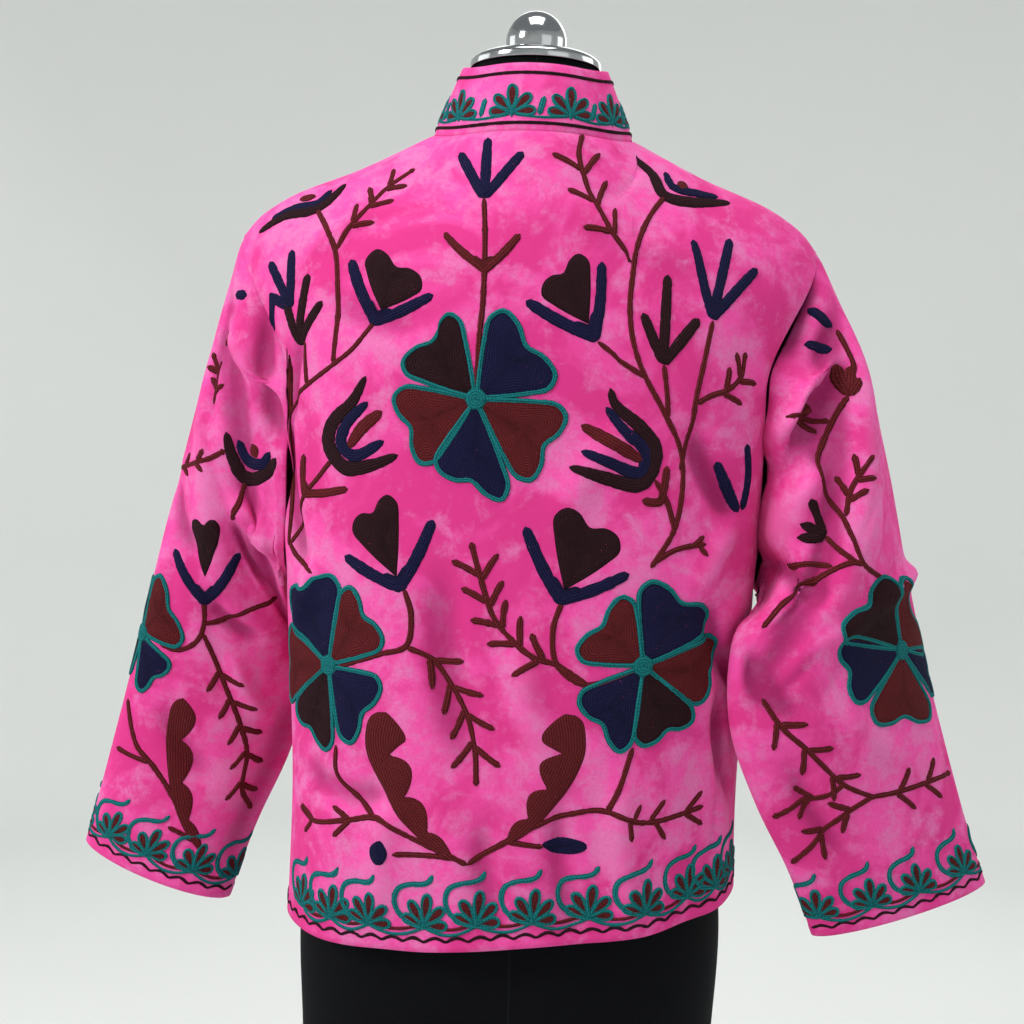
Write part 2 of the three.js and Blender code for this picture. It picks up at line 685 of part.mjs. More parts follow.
add('back', backGeometry(), cloth());
add('front_left', frontGeometry(-1), cloth());
add('front_right', frontGeometry(1), cloth());
add('sleeve_left', sleeveGeometry(SLEEVE_LEFT, FOLDS_LEFT, -1), cloth());
add('sleeve_right', sleeveGeometry(SLEEVE_RIGHT, FOLDS_RIGHT, 1), cloth());
add('collar', collarGeometry(), cloth());
add('form_torso', formGeometry(), jersey());
add('neck_cap', capGeometry(), chrome());
add('finial', finialGeometry(), chrome());
add('stand_pole', poleGeometry(), chrome());
add('stand_base', baseGeometry(), chrome());

export default jacket;
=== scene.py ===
"""Looks of a velvet suzani jacket on its dress form, laid out as an add-on and run as a script.

The cloth tables are the ones of the part's source, in millimetres. Every mesh is in metres.
"""

import math

import bmesh
import bpy
import numpy as np
from bpy.props import FloatProperty, FloatVectorProperty, IntProperty, PointerProperty
from mathutils import Matrix, Vector


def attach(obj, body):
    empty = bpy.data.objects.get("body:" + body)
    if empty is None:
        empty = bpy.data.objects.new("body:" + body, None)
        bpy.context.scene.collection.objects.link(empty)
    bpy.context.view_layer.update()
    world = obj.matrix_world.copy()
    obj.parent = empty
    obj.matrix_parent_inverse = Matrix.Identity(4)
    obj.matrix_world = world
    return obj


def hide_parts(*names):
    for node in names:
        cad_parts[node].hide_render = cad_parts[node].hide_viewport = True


bl_info = {
    "name": "Suzani Jacket on a Dress Form",
    "version": (1, 0, 0),
    "blender": (4, 5, 0),
    "location": "View3D > Sidebar > Suzani Jacket",
    "description": "Builds a chain-stitched velvet jacket, its dress form and a soft studio",
    "category": "Object",
}

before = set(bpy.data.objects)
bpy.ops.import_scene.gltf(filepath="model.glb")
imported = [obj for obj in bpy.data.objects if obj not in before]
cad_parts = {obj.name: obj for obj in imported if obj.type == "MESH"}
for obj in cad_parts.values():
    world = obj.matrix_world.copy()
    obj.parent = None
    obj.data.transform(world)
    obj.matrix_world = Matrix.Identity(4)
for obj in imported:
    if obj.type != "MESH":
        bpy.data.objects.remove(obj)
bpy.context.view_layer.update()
MM = 0.001

# Heights and widths of the jacket
UNDERARM_Z = 1055
CHEST_Z = 1200
TIP_Z = 1349
NECK_Z = 1434
SHOULDER_HALF = 246
NECK_HALF = 86
NECK_CORNER = NECK_HALF / SHOULDER_HALF
ARMHOLE_DEPTH = 62
SQUARENESS = 2.5
HEM_ROWS = 8
ARM_ROWS = 4
TOP_ROWS = 8
ALL_ROWS = HEM_ROWS + ARM_ROWS + TOP_ROWS
SEAM = 0.3
SIDE = {"back": 0, "front": 1}

# Neck seam, collar and front opening, back and front
NECK_RING = (80, 74)
NECK_SLOPE = 0.49
NECK_RISE = (39, -10)
COLLAR_TOP = {"half": 63, "deep": (61, 60)}
COLLAR_HEIGHT = 57
FRONT_OPEN = {"neck": 0.8, "hem": 9}

# Body of the jacket: height, half width, depth of the back and of the front
BODY = np.array([
    (740, 199, 151, 130),
    (870, 196, 147, 128),
    (960, 199, 143, 126),
    (1055, 204, 137, 124),
    (1130, 201, 131, 122),
    (1200, 200, 126, 118),
], float)

# Height of the hem: place across, back, front
HEM = np.array([(-1, 766, 766), (-0.5, 770, 770), (0, 780, 777), (0.5, 786, 786), (1, 800, 800)], float)

# Shoulder line: x and height
SHOULDER = np.array([(54, 1449), (86, 1434), (145, 1405), (200, 1383), (228, 1366), (246, 1349)], float)

# Soft flutes: place across, half width, depth, height where each fades out
FLUTES = {
    "back": [(-0.8, 0.12, 4, 1010), (-0.52, 0.13, -4, 960), (-0.08, 0.2, 3, 900), (0.3, 0.14, -3, 930),
             (0.72, 0.09, -5, 1050), (0.86, 0.07, 4, 1040)],
    "front": [(-0.74, 0.12, -4, 1000), (-0.42, 0.13, 5, 960), (0.4, 0.14, 5, 980), (0.72, 0.11, -4, 1020)],
}

# Sleeve sections: place along, outer edge x y z, inner edge x y z, half thickness
SLEEVES = {
    1: np.array([
        (0, 246, 0, 1349, 204, 0, 1055, 62),
        (0.16, 279, -8, 1266, 202, -42, 1046, 56),
        (0.34, 309, -14, 1163, 180, -98, 1032, 46),
        (0.5, 333, -20, 1066, 172, -109, 996, 38),
        (0.64, 355, -25, 985, 176, -110, 944, 33),
        (0.77, 377, -28, 912, 200, -102, 884, 28),
        (0.89, 396, -31, 853, 232, -86, 824, 25),
        (1, 414, -33, 804, 257, -72, 766, 23),
    ], float),
    -1: np.array([
        (0, 246, 0, 1349, 204, 0, 1055, 62),
        (0.16, 272, 5, 1262, 209, 10, 1040, 56),
        (0.34, 299, 10, 1163, 208, 36, 1018, 47),
        (0.5, 324, 16, 1066, 202, 62, 982, 41),
        (0.64, 345, 22, 980, 198, 72, 932, 38),
        (0.77, 366, 28, 900, 213, 66, 872, 36),
        (0.89, 382, 34, 842, 240, 48, 808, 35),
        (1, 395, 38, 794, 261, 34, 744, 34),
    ], float),
}

# Sleeve folds: from and to along, start and end round, half width round, depth
SLEEVE_FOLDS = {
    1: [(0.04, 0.42, 0.36, 0.12, 0.055, -9), (0.1, 0.5, 0.41, 0.22, 0.05, 7),
        (0.3, 0.6, 0.22, 0.07, 0.05, -6), (0.08, 0.4, 0.62, 0.85, 0.055, -8),
        (0.45, 0.8, 0.66, 0.8, 0.055, -6)],
    -1: [(0.05, 0.36, 0.4, 0.16, 0.055, -9), (0.2, 0.52, 0.42, 0.26, 0.055, 7),
         (0.26, 0.5, 0.22, 0.06, 0.05, -7), (0.08, 0.42, 0.64, 0.86, 0.055, -8),
         (0.62, 0.98, 0.1, 0.08, 0.055, -6)],
}
BODY_CLEARANCE = 6

# Fine creases of the visible cloth. Body: place across and row at each end, half width and depth
# in millimetres. Sleeves: turn and place along at each end, half width and depth.
BODY_CREASES = {
    "back": [(0.8, 0.4, 0.765, 7.4, 3.5, -2.6), (0.83, 0.4, 0.8, 7.6, 4, 1.8), (-0.9, 2, -0.84, 6, 6, -1.6),
             (0.9, 10.5, 0.7, 8.6, 6, -1.6), (0.95, 9.3, 0.78, 7.8, 5, -1.4),
             (-0.93, 10.2, -0.74, 8.4, 6, -1.7),
             (-0.9, 12.4, -0.8, 10.6, 7, -1.5), (-0.4, 17.4, -0.12, 18.4, 8, -1.2),
             (0.1, 18.2, 0.38, 17.2, 8, -1.2), (-0.62, 4.4, -0.45, 2.4, 8, -1.1),
             (0.32, 6.2, 0.5, 4.6, 8, -1)],
    "front": [(0.8, 0.5, 0.72, 6.5, 5, -2.4), (-0.82, 0.5, -0.76, 6.2, 5, -2.2), (0.4, 9, 0.7, 8.1, 6, -1.6),
              (-0.92, 10, -0.72, 8.5, 6, -1.6), (0.92, 11, 0.74, 9, 6, -1.8), (-0.3, 4, -0.38, 7.2, 7, -1.4)],
}
SLEEVE_CREASES = {
    1: [(0.4, 0.03, 0.33, 0.2, 5, -2), (0.44, 0.12, 0.26, 0.36, 5, -2.4), (0.2, 0.5, 0.12, 0.58, 5, -2.2),
        (0.24, 0.47, 0.19, 0.62, 4, -1.8), (0.34, 0.3, 0.3, 0.47, 5, -1.8), (0.42, 0.55, 0.38, 0.9, 7, -1.6),
        (0.58, 0.1, 0.7, 0.4, 6, -2), (0.62, 0.5, 0.72, 0.62, 5, -2), (0.8, 0.5, 0.86, 0.7, 5, -1.8)],
    -1: [(0.42, 0.06, 0.3, 0.24, 5, -2.2), (0.38, 0.26, 0.26, 0.33, 5, -2), (0.3, 0.36, 0.2, 0.43, 5, -2.6),
         (0.2, 0.38, 0.1, 0.45, 5, -2.2), (0.3, 0.52, 0.24, 0.66, 6, -1.6), (0.42, 0.44, 0.36, 0.6, 6, -1.6),
         (0.58, 0.1, 0.7, 0.38, 6, -2), (0.64, 0.5, 0.76, 0.6, 5, -2), (0.8, 0.55, 0.86, 0.75, 5, -1.8)],
}
ROW_LENGTH = 34
SLEEVE_GIRTH = 330
SLEEVE_LENGTH = 560

# Dress form: height, half width, depth of the back and of the front
FORM = np.array([
    (640, 184, 114, 108),
    (760, 187, 118, 108),
    (900, 168, 104, 98),
    (980, 156, 98, 96),
    (1100, 172, 108, 106),
    (1200, 180, 108, 102),
], float)
FORM_SHOULDER = {"half": 192, "droop": 34, "power": 2.3, "down": 2.35, "ease": 6}
FORM_NECK = {"radius": 54, "rise": (10, 0), "top": 1491}
FORM_FOOT = {"z": 632, "inset": 10}
CAP = {"radius": 56, "z": 1491.3, "rim": 5, "rise": 9}
CAP_LIP = 1.5
FINIAL = {"radius": 26, "stem": 24}
POLE = {"radius": 16, "bottom": 32, "top": 631.7}
BASE = {"radius": 170, "edge": 9, "rise": 22, "hub": 20}

# Camera: focal length over the image width, place in millimetres, pitch down and roll in degrees
FOCAL = 1308 / 1024
EYE = (-8.8, -1150, 1211)
PITCH = 4.894
ROLL = 1.7
IMAGE = 1024


class JacketSizes(bpy.types.PropertyGroup):
    """Sizes of the cloth, the stitches and the studio."""
    cloth: FloatProperty(name="Cloth", description="Thickness of the velvet", default=0.002,
                         min=0.001, max=0.003, unit="LENGTH")
    turning: FloatProperty(name="Turning", description="Height of the turned hem and cuffs", default=0.011,
                           min=0.004, max=0.03, unit="LENGTH")
    stem: FloatProperty(name="Stem", description="Width of an embroidered stem", default=0.0049,
                        min=0.002, max=0.01, unit="LENGTH")
    rope: FloatProperty(name="Rope", description="Width of a petal's outline", default=0.0042,
                        min=0.002, max=0.01, unit="LENGTH")
    relief: FloatProperty(name="Relief", description="Height of the stitches on the velvet", default=0.0013,
                          min=0.0005, max=0.003, unit="LENGTH")
    columns: IntProperty(name="Columns", description="Grid columns of the back", default=120, min=40, max=200)
    rows: IntProperty(name="Rows", description="Grid rows of the back", default=168, min=40, max=240)
    room: FloatProperty(name="Room", description="Radius of the round backdrop", default=3.3,
                        min=3.0, max=6.0, unit="LENGTH")


class JacketColours(bpy.types.PropertyGroup):
    """Colours of the velvet, the threads, the form and the studio."""
    velvet: FloatVectorProperty(name="Velvet", description="Pink of the pile", subtype="COLOR",
                                default=(0.78, 0.078, 0.345))
    # Brushed and deep pinks also give the painted highlight on fold ridges and, darkened, the painted shade
    # in fold troughs
    brushed: FloatVectorProperty(name="Brushed velvet", description="Pile that leans to the light",
                                 subtype="COLOR", default=(0.66, 0.17, 0.4))
    deep: FloatVectorProperty(name="Deep velvet", description="Pile that leans away", subtype="COLOR",
                              default=(0.62, 0.035, 0.215))
    navy: FloatVectorProperty(name="Navy", description="Navy wool", subtype="COLOR",
                              default=(0.0025, 0.0022, 0.026))
    brown: FloatVectorProperty(name="Brown", description="Dark brown wool", subtype="COLOR",
                               default=(0.0125, 0.001, 0.0032))
    rust: FloatVectorProperty(name="Rust", description="Rust maroon wool", subtype="COLOR",
                              default=(0.072, 0.0045, 0.0065))
    teal: FloatVectorProperty(name="Teal", description="Teal wool", subtype="COLOR",
                              default=(0.0015, 0.105, 0.11))
    jersey: FloatVectorProperty(name="Jersey", description="Cover of the dress form", subtype="COLOR",
                                default=(0.0015, 0.0016, 0.0025))
    chrome: FloatVectorProperty(name="Chrome", description="Cap, ball and stand", subtype="COLOR",
                                default=(0.42, 0.43, 0.44))
    room: FloatVectorProperty(name="Studio", description="Floor and backdrop", subtype="COLOR",
                              default=(0.72, 0.735, 0.72))


def smooth_curve(keys, values, at):
    """Cubic pieces through the values, whose slope at a key is that from its neighbour before to its
    neighbour after, level outside the first and last key."""
    keys = np.asarray(keys, float)
    values = np.asarray(values, float)
    last = len(keys) - 1
    at = np.clip(at, keys[0], keys[-1])
    before = np.maximum(np.arange(last + 1) - 1, 0)
    after = np.minimum(np.arange(last + 1) + 1, last)
    slopes = (values[after] - values[before]) / (keys[after] - keys[before])
    low = np.clip(np.searchsorted(keys, at, side="right") - 1, 0, last - 1)
    span = keys[low + 1] - keys[low]
    u = (at - keys[low]) / span
    rise = u * u * (3 - 2 * u)
    start = slopes[low] * span * u * (1 - u) ** 2
    end = slopes[low + 1] * span * u * u * (u - 1)
    return values[low] * (1 - rise) + values[low + 1] * rise + start + end


def ease(low, high, at):
    """0 below low, 1 above high, and the smooth cubic step between them."""
    u = np.clip((at - low) / (high - low), 0, 1)
    return u * u * (3 - 2 * u)


def hump(at, centre, half):
    """Bell of height 1: e to the power of minus the square of the distance over the half width."""
    return np.exp(-((at - centre) / half) ** 2)


def section_depth(g, centre, edge, power):
    """Depth of a superellipse section at the share g of its half width, which comes down from its
    depth in the centre to its depth at the edge."""
    drop = 1 - (edge / centre) ** power
    return centre * np.maximum(1 - drop * np.abs(g) ** power, 0) ** (1 / power)


def armhole_depth(z):
    """Half depth of the armhole at a height: a quarter ellipse from the underarm up to the chest."""
    c = np.clip((CHEST_Z - z) / (CHEST_Z - UNDERARM_Z), 0, 1)
    return ARMHOLE_DEPTH * np.sqrt(1 - c * c)


def shoulder_line(x):
    """Height of the shoulder line at a distance from the middle."""
    return smooth_curve(SHOULDER[:, 0], SHOULDER[:, 1], x)


def strip_end(x, depth, half, ring, rise, ridge):
    """Peak and turn of a strip over the shoulder: a quarter turn up to the ridge outside the neck, and
    inside it the turn whose cosine times the depth is the neck ring's depth there."""
    side = np.abs(x) / half
    inward = np.maximum(1 - side * side, 0)
    climb = NECK_SLOPE * half * inward / 2 + rise * inward * inward
    turn = np.arccos(np.clip(ring * np.sqrt(inward) / np.maximum(depth, 1e-6), 0, 1))
    inside = side < 1
    peak = np.where(inside, ridge(np.full_like(side, half)) + climb, ridge(np.abs(x)))
    return peak, np.where(inside, turn, math.pi / 2)


def jacket_body(side, g, row):
    """Outer face of the back or the fronts. Row 0 to 8 climbs evenly from the hem to the underarm, 8 to
    12 along a quarter circle to the chest, and 12 to 20 turns over the shoulder; the depth at each place
    across is that of the superellipse section, with the flutes added."""
    g, row = np.broadcast_arrays(np.asarray(g, float), np.asarray(row, float))
    k = SIDE[side]
    sign = -1 if side == "back" else 1
    hem = smooth_curve(HEM[:, 0], HEM[:, 1 + k], g)
    lower = hem + (UNDERARM_Z - hem) * row / HEM_ROWS
    quarter = math.pi / 2 * (row - HEM_ROWS) / ARM_ROWS
    middle = CHEST_Z - (CHEST_Z - UNDERARM_Z) * np.cos(quarter)
    z = np.where(row <= HEM_ROWS, lower, np.where(row <= HEM_ROWS + ARM_ROWS, middle, CHEST_Z))
    over = np.clip((row - HEM_ROWS - ARM_ROWS) / TOP_ROWS, 0, 1)
    half = smooth_curve(BODY[:, 0], BODY[:, 1], z)
    centre = smooth_curve(BODY[:, 0], BODY[:, 2 + k], z)
    depth = section_depth(g, centre, armhole_depth(z), SQUARENESS)
    peak, turn = strip_end(g * SHOULDER_HALF, depth, NECK_HALF, NECK_RING[k], NECK_RISE[k], shoulder_line)
    angle = over * turn
    share = np.sin(angle) / np.sin(turn)
    out = np.zeros_like(z)
    for across, wide, deep, top in FLUTES[side]:
        out = out + deep * hump(g, across, wide) * (1 - ease(UNDERARM_Z - 260, top, z))
    out = out * (1 - g ** 8)
    flat = over <= 0
    x = g * half
    x = x + np.where(flat, np.sign(g) * out * np.abs(g) ** 4,
                     g * (SHOULDER_HALF - half) * ease(0.15, 1, share))
    y = np.where(flat, depth + out * np.minimum(1, 1.4 - np.abs(g)), depth * np.cos(angle))
    z = np.where(flat, z, CHEST_Z + (peak - CHEST_Z) * np.sin(angle))
    return np.stack([x, sign * (y + SEAM / 2), z], -1)


def front_panel(hand, g, row):
    """Outer face of one front, g 0 at its front edge and 1 at its side: the body's, moved off the
    middle by the opening, which narrows from the hem to the neck."""
    point = jacket_body("front", hand * g, row)
    rise = ease(HEM[0, 2], NECK_Z, point[..., 2])
    gap = FRONT_OPEN["hem"] + (FRONT_OPEN["neck"] - FRONT_OPEN["hem"]) * rise
    point[..., 0] += hand * gap * (1 - g)
    return point


def armhole_seam(hand, turn):
    """Armhole seam at a turn: 0 underarm, a quarter at the back, a half at the tip of the shoulder."""
    row = HEM_ROWS + np.where(turn <= 0.5, 2 * turn, 2 - 2 * turn) * (ARM_ROWS + TOP_ROWS)
    place = np.full_like(row, hand)
    behind = jacket_body("back", place, row)
    before = jacket_body("front", place, row)
    return np.where((turn <= 0.5)[..., None], behind, before)


def clear_of_body(point, clearance):
    """A point inside the body's section is moved straight out to its superellipse."""
    x, y, z = np.moveaxis(point, -1, 0)
    half = smooth_curve(BODY[:, 0], BODY[:, 1], z)
    back = smooth_curve(BODY[:, 0], BODY[:, 2], z)
    front = smooth_curve(BODY[:, 0], BODY[:, 3], z)
    centre = np.where(y < 0, back, front)
    edge = 1 - (armhole_depth(z) / centre) ** SQUARENESS
    wide = half / edge ** (1 / SQUARENESS) + clearance
    inside = (np.abs(x) / wide) ** SQUARENESS + (np.abs(y) / (centre + clearance)) ** SQUARENESS
    out = np.where((inside < 1) & (z <= TIP_Z), np.maximum(inside, 1e-6) ** (-1 / SQUARENESS), 1)
    return np.stack([x * out, y * out, z], -1)


def sleeve_section(hand, along, turn):
    """Ellipse between the inner edge at turn 0 and the outer edge at turn a half, bulging to the back
    at a quarter by the half thickness."""
    rows = SLEEVES[hand]
    at = [smooth_curve(rows[:, 0], rows[:, k], along) for k in range(1, 8)]
    outer = np.stack([hand * at[0], at[1], at[2]], -1)
    inner = np.stack([hand * at[3], at[4], at[5]], -1)
    centre = (outer + inner) / 2
    reach = outer - centre
    back = np.cross(reach, np.array([hand * 0.25, 0, -1.0]))
    back = back / np.linalg.norm(back, axis=-1, keepdims=True)
    back = back * np.where(back[..., 1:2] < 0, 1, -1)
    angle = 2 * math.pi * turn[..., None]
    return centre - reach * np.cos(angle) + back * np.sin(angle) * at[6][..., None]


def sleeve_surface(hand, turn, along):
    """Outer face of a sleeve: its sections, drawn to the armhole seam over its first third, and kept
    clear of the body."""
    point = sleeve_section(hand, along, turn)
    seam = armhole_seam(hand, turn) - sleeve_section(hand, np.zeros_like(along), turn)
    point = point + seam * (1 - ease(0, 0.34, along))[..., None]
    return clear_of_body(point, BODY_CLEARANCE * ease(0, 0.12, along))


def near_line(x, y, ends):
    """Soft trough or ridge along a straight line: a bell across it that fades at its ends."""
    x0, y0, x1, y1, half, depth = ends
    dx, dy = x1 - x0, y1 - y0
    length = math.hypot(dx, dy)
    along = ((x - x0) * dx + (y - y0) * dy) / length
    across = ((x - x0) * dy - (y - y0) * dx) / length
    bend = 0.06 * length * np.sin(along / length * math.pi)
    fade = ease(-0.15 * length, 0.3 * length, along) * (1 - ease(0.7 * length, 1.15 * length, along))
    return depth * hump(across, bend, half) * fade


def sleeve_relief(hand, turn, along):
    """Folds and creases of a sleeve along its normal, fading out at the armhole, with a sunk seam at
    the armhole and a raised turning at the cuff."""
    out = np.zeros_like(turn)
    for start, end, turn_from, turn_to, half, depth in SLEEVE_FOLDS[hand]:
        share = np.clip((along - start) / (end - start), 0, 1)
        centre = turn_from + (turn_to - turn_from) * share
        fade = ease(start - 0.03, start + 0.1, along) * (1 - ease(end - 0.1, end + 0.05, along))
        out = out + depth * hump(turn, centre, half) * fade
    for x0, y0, x1, y1, half, depth in SLEEVE_CREASES[hand]:
        ends = (x0 * SLEEVE_GIRTH, y0 * SLEEVE_LENGTH, x1 * SLEEVE_GIRTH, y1 * SLEEVE_LENGTH, half, depth)
        out = out + near_line(turn * SLEEVE_GIRTH, along * SLEEVE_LENGTH, ends)
    out = out * ease(0, 0.1, along) * (1 - 0.6 * ease(0.93, 1, along))
    return out - 1.6 * hump(along * SLEEVE_LENGTH, 0, 7)


def body_relief(side, g, row):
    """Creases of a body panel along its normal, with sunk seams at its sides, armholes and neck."""
    out = np.zeros_like(g)
    for x0, y0, x1, y1, half, depth in BODY_CREASES[side]:
        ends = (x0 * 200, y0 * ROW_LENGTH, x1 * 200, y1 * ROW_LENGTH, half, depth)
        out = out + near_line(g * 200, row * ROW_LENGTH, ends)
    edge = (1 - np.abs(g)) * 200
    out = out * ease(0, 12, edge) - 1.3 * hump(edge, 0, 5)
    return out - 1.1 * hump((ALL_ROWS - row) * 28, 0, 5)


def neck_seam_height(k, x):
    """Height of the neck seam at a place across, at the back (0) or the front (1)."""
    depth = section_depth(x / SHOULDER_HALF, BODY[-1, 2 + k], ARMHOLE_DEPTH, SQUARENESS)
    peak, turn = strip_end(x, depth, NECK_HALF, NECK_RING[k], NECK_RISE[k], shoulder_line)
    return CHEST_Z + (peak - CHEST_Z) * np.sin(turn)


def collar_surface(turn, rise):
    """Outer face of the collar: from the right front edge round the back to the left front edge, an
    oval ring on the neck seam that narrows to its top."""
    gap = FRONT_OPEN["neck"] / NECK_HALF
    quarter = math.pi / 2
    angle = np.clip(quarter - 2 * math.pi * turn, gap - 3 * quarter, quarter - gap)
    front = np.sin(angle) > 0
    across = NECK_HALF + (COLLAR_TOP["half"] - NECK_HALF) * rise
    deeps = [NECK_RING[k] + (COLLAR_TOP["deep"][k] - NECK_RING[k]) * rise for k in (0, 1)]
    deep = np.where(front, deeps[1], deeps[0])
    foots = [neck_seam_height(k, NECK_HALF * np.cos(angle)) for k in (0, 1)]
    foot = np.where(front, foots[1], foots[0]) + 0.3
    shift = np.where(front, SEAM / 2, -SEAM / 2)
    y = deep * np.sin(angle) + shift * np.abs(np.sin(angle))
    return np.stack([across * np.cos(angle), y, foot + COLLAR_HEIGHT * rise], -1)


def form_surface(g, sign, row):
    """Torso of the dress form at the share g of its half width: rows 0 to 1 climb to the chest, 1 to 2
    turn over the shoulder, 2 to 3 climb the neck, and 3 to 4 close its top."""
    k = np.where(sign < 0, 0, 1)
    z = FORM[0, 0] + (CHEST_Z - FORM[0, 0]) * np.clip(row, 0, 1)
    half = smooth_curve(FORM[:, 0], FORM[:, 1], z)
    centre = np.where(k == 0, smooth_curve(FORM[:, 0], FORM[:, 2], z),
                      smooth_curve(FORM[:, 0], FORM[:, 3], z))
    depth = section_depth(g, centre, 0 * centre, FORM_SHOULDER["power"])

    def ridge(x):
        droop = FORM_SHOULDER["droop"] * (x / FORM_SHOULDER["half"]) ** 16
        clear = FORM_SHOULDER["ease"] * (1 - ease(NECK_HALF, NECK_HALF + 30, x))
        return shoulder_line(x) - FORM_SHOULDER["down"] - droop - clear

    radius = FORM_NECK["radius"]
    rise = np.where(k == 0, FORM_NECK["rise"][0], FORM_NECK["rise"][1])
    place = g * FORM_SHOULDER["half"]
    peak, turn = strip_end(place, np.maximum(depth, 1e-3), radius, radius, rise, ridge)
    angle = np.clip(row - 1, 0, 1) * turn
    share = np.sin(angle) / np.maximum(np.sin(turn), 1e-6)
    x = g * (half + (FORM_SHOULDER["half"] - half) * ease(0, 1, share))
    y = sign * depth * np.cos(angle)
    height = np.where(row > 1, CHEST_Z + (peak - CHEST_Z) * np.sin(angle), z)
    neck = np.abs(place) <= radius + 1e-6
    climb = np.clip(row - 2, 0, 1)
    height = np.where(neck, height + (FORM_NECK["top"] - height) * climb, height)
    close = np.where(neck, 1 - np.clip(row - 3, 0, 1), 1)
    foot = np.where(row < 0, 1 + row * FORM_FOOT["inset"] / half, 1)
    height = height + np.minimum(row, 0) * (FORM[0, 0] - FORM_FOOT["z"])
    return np.stack([x * close * foot, y * close * foot, height], -1)


def camera_axes():
    """Right, up and forward of the camera: pitched down, then turned round its own axis."""
    pitch, roll = math.radians(PITCH), math.radians(ROLL)
    forward = np.array([0, math.cos(pitch), -math.sin(pitch)])
    right = np.array([1.0, 0, 0])
    up = np.array([0, math.sin(pitch), math.cos(pitch)])
    turned = right * math.cos(roll) + up * math.sin(roll)
    return turned, up * math.cos(roll) - right * math.sin(roll), forward


def to_pixels(points):
    """Pixel of each point in the square image: its offset over its distance, times the focal length."""
    right, up, forward = camera_axes()
    rel = points - np.array(EYE, float)
    distance = rel @ forward
    x = IMAGE / 2 + FOCAL * IMAGE * (rel @ right) / distance
    y = IMAGE / 2 - FOCAL * IMAGE * (rel @ up) / distance
    return x, y


def grid_normals(points, ring):
    """Cross product of the two grid directions at each point, with wrapped columns on a ring."""
    across = np.gradient(points, axis=0)
    if ring:
        across[0] = (points[1] - points[-2]) / 2
        across[-1] = across[0]
    normal = np.cross(across, np.gradient(points, axis=1))
    return normal / np.maximum(np.linalg.norm(normal, axis=-1, keepdims=True), 1e-9)


# Pixels, grid steps and millimetres past which a solved place is taken from the nearest sample, and
# how much deeper a seen fold is made
MISSED_BY = 2.5
STRAYED_BY = 6
LOST_BY = 1.5
FOLD_GAIN = 2.2


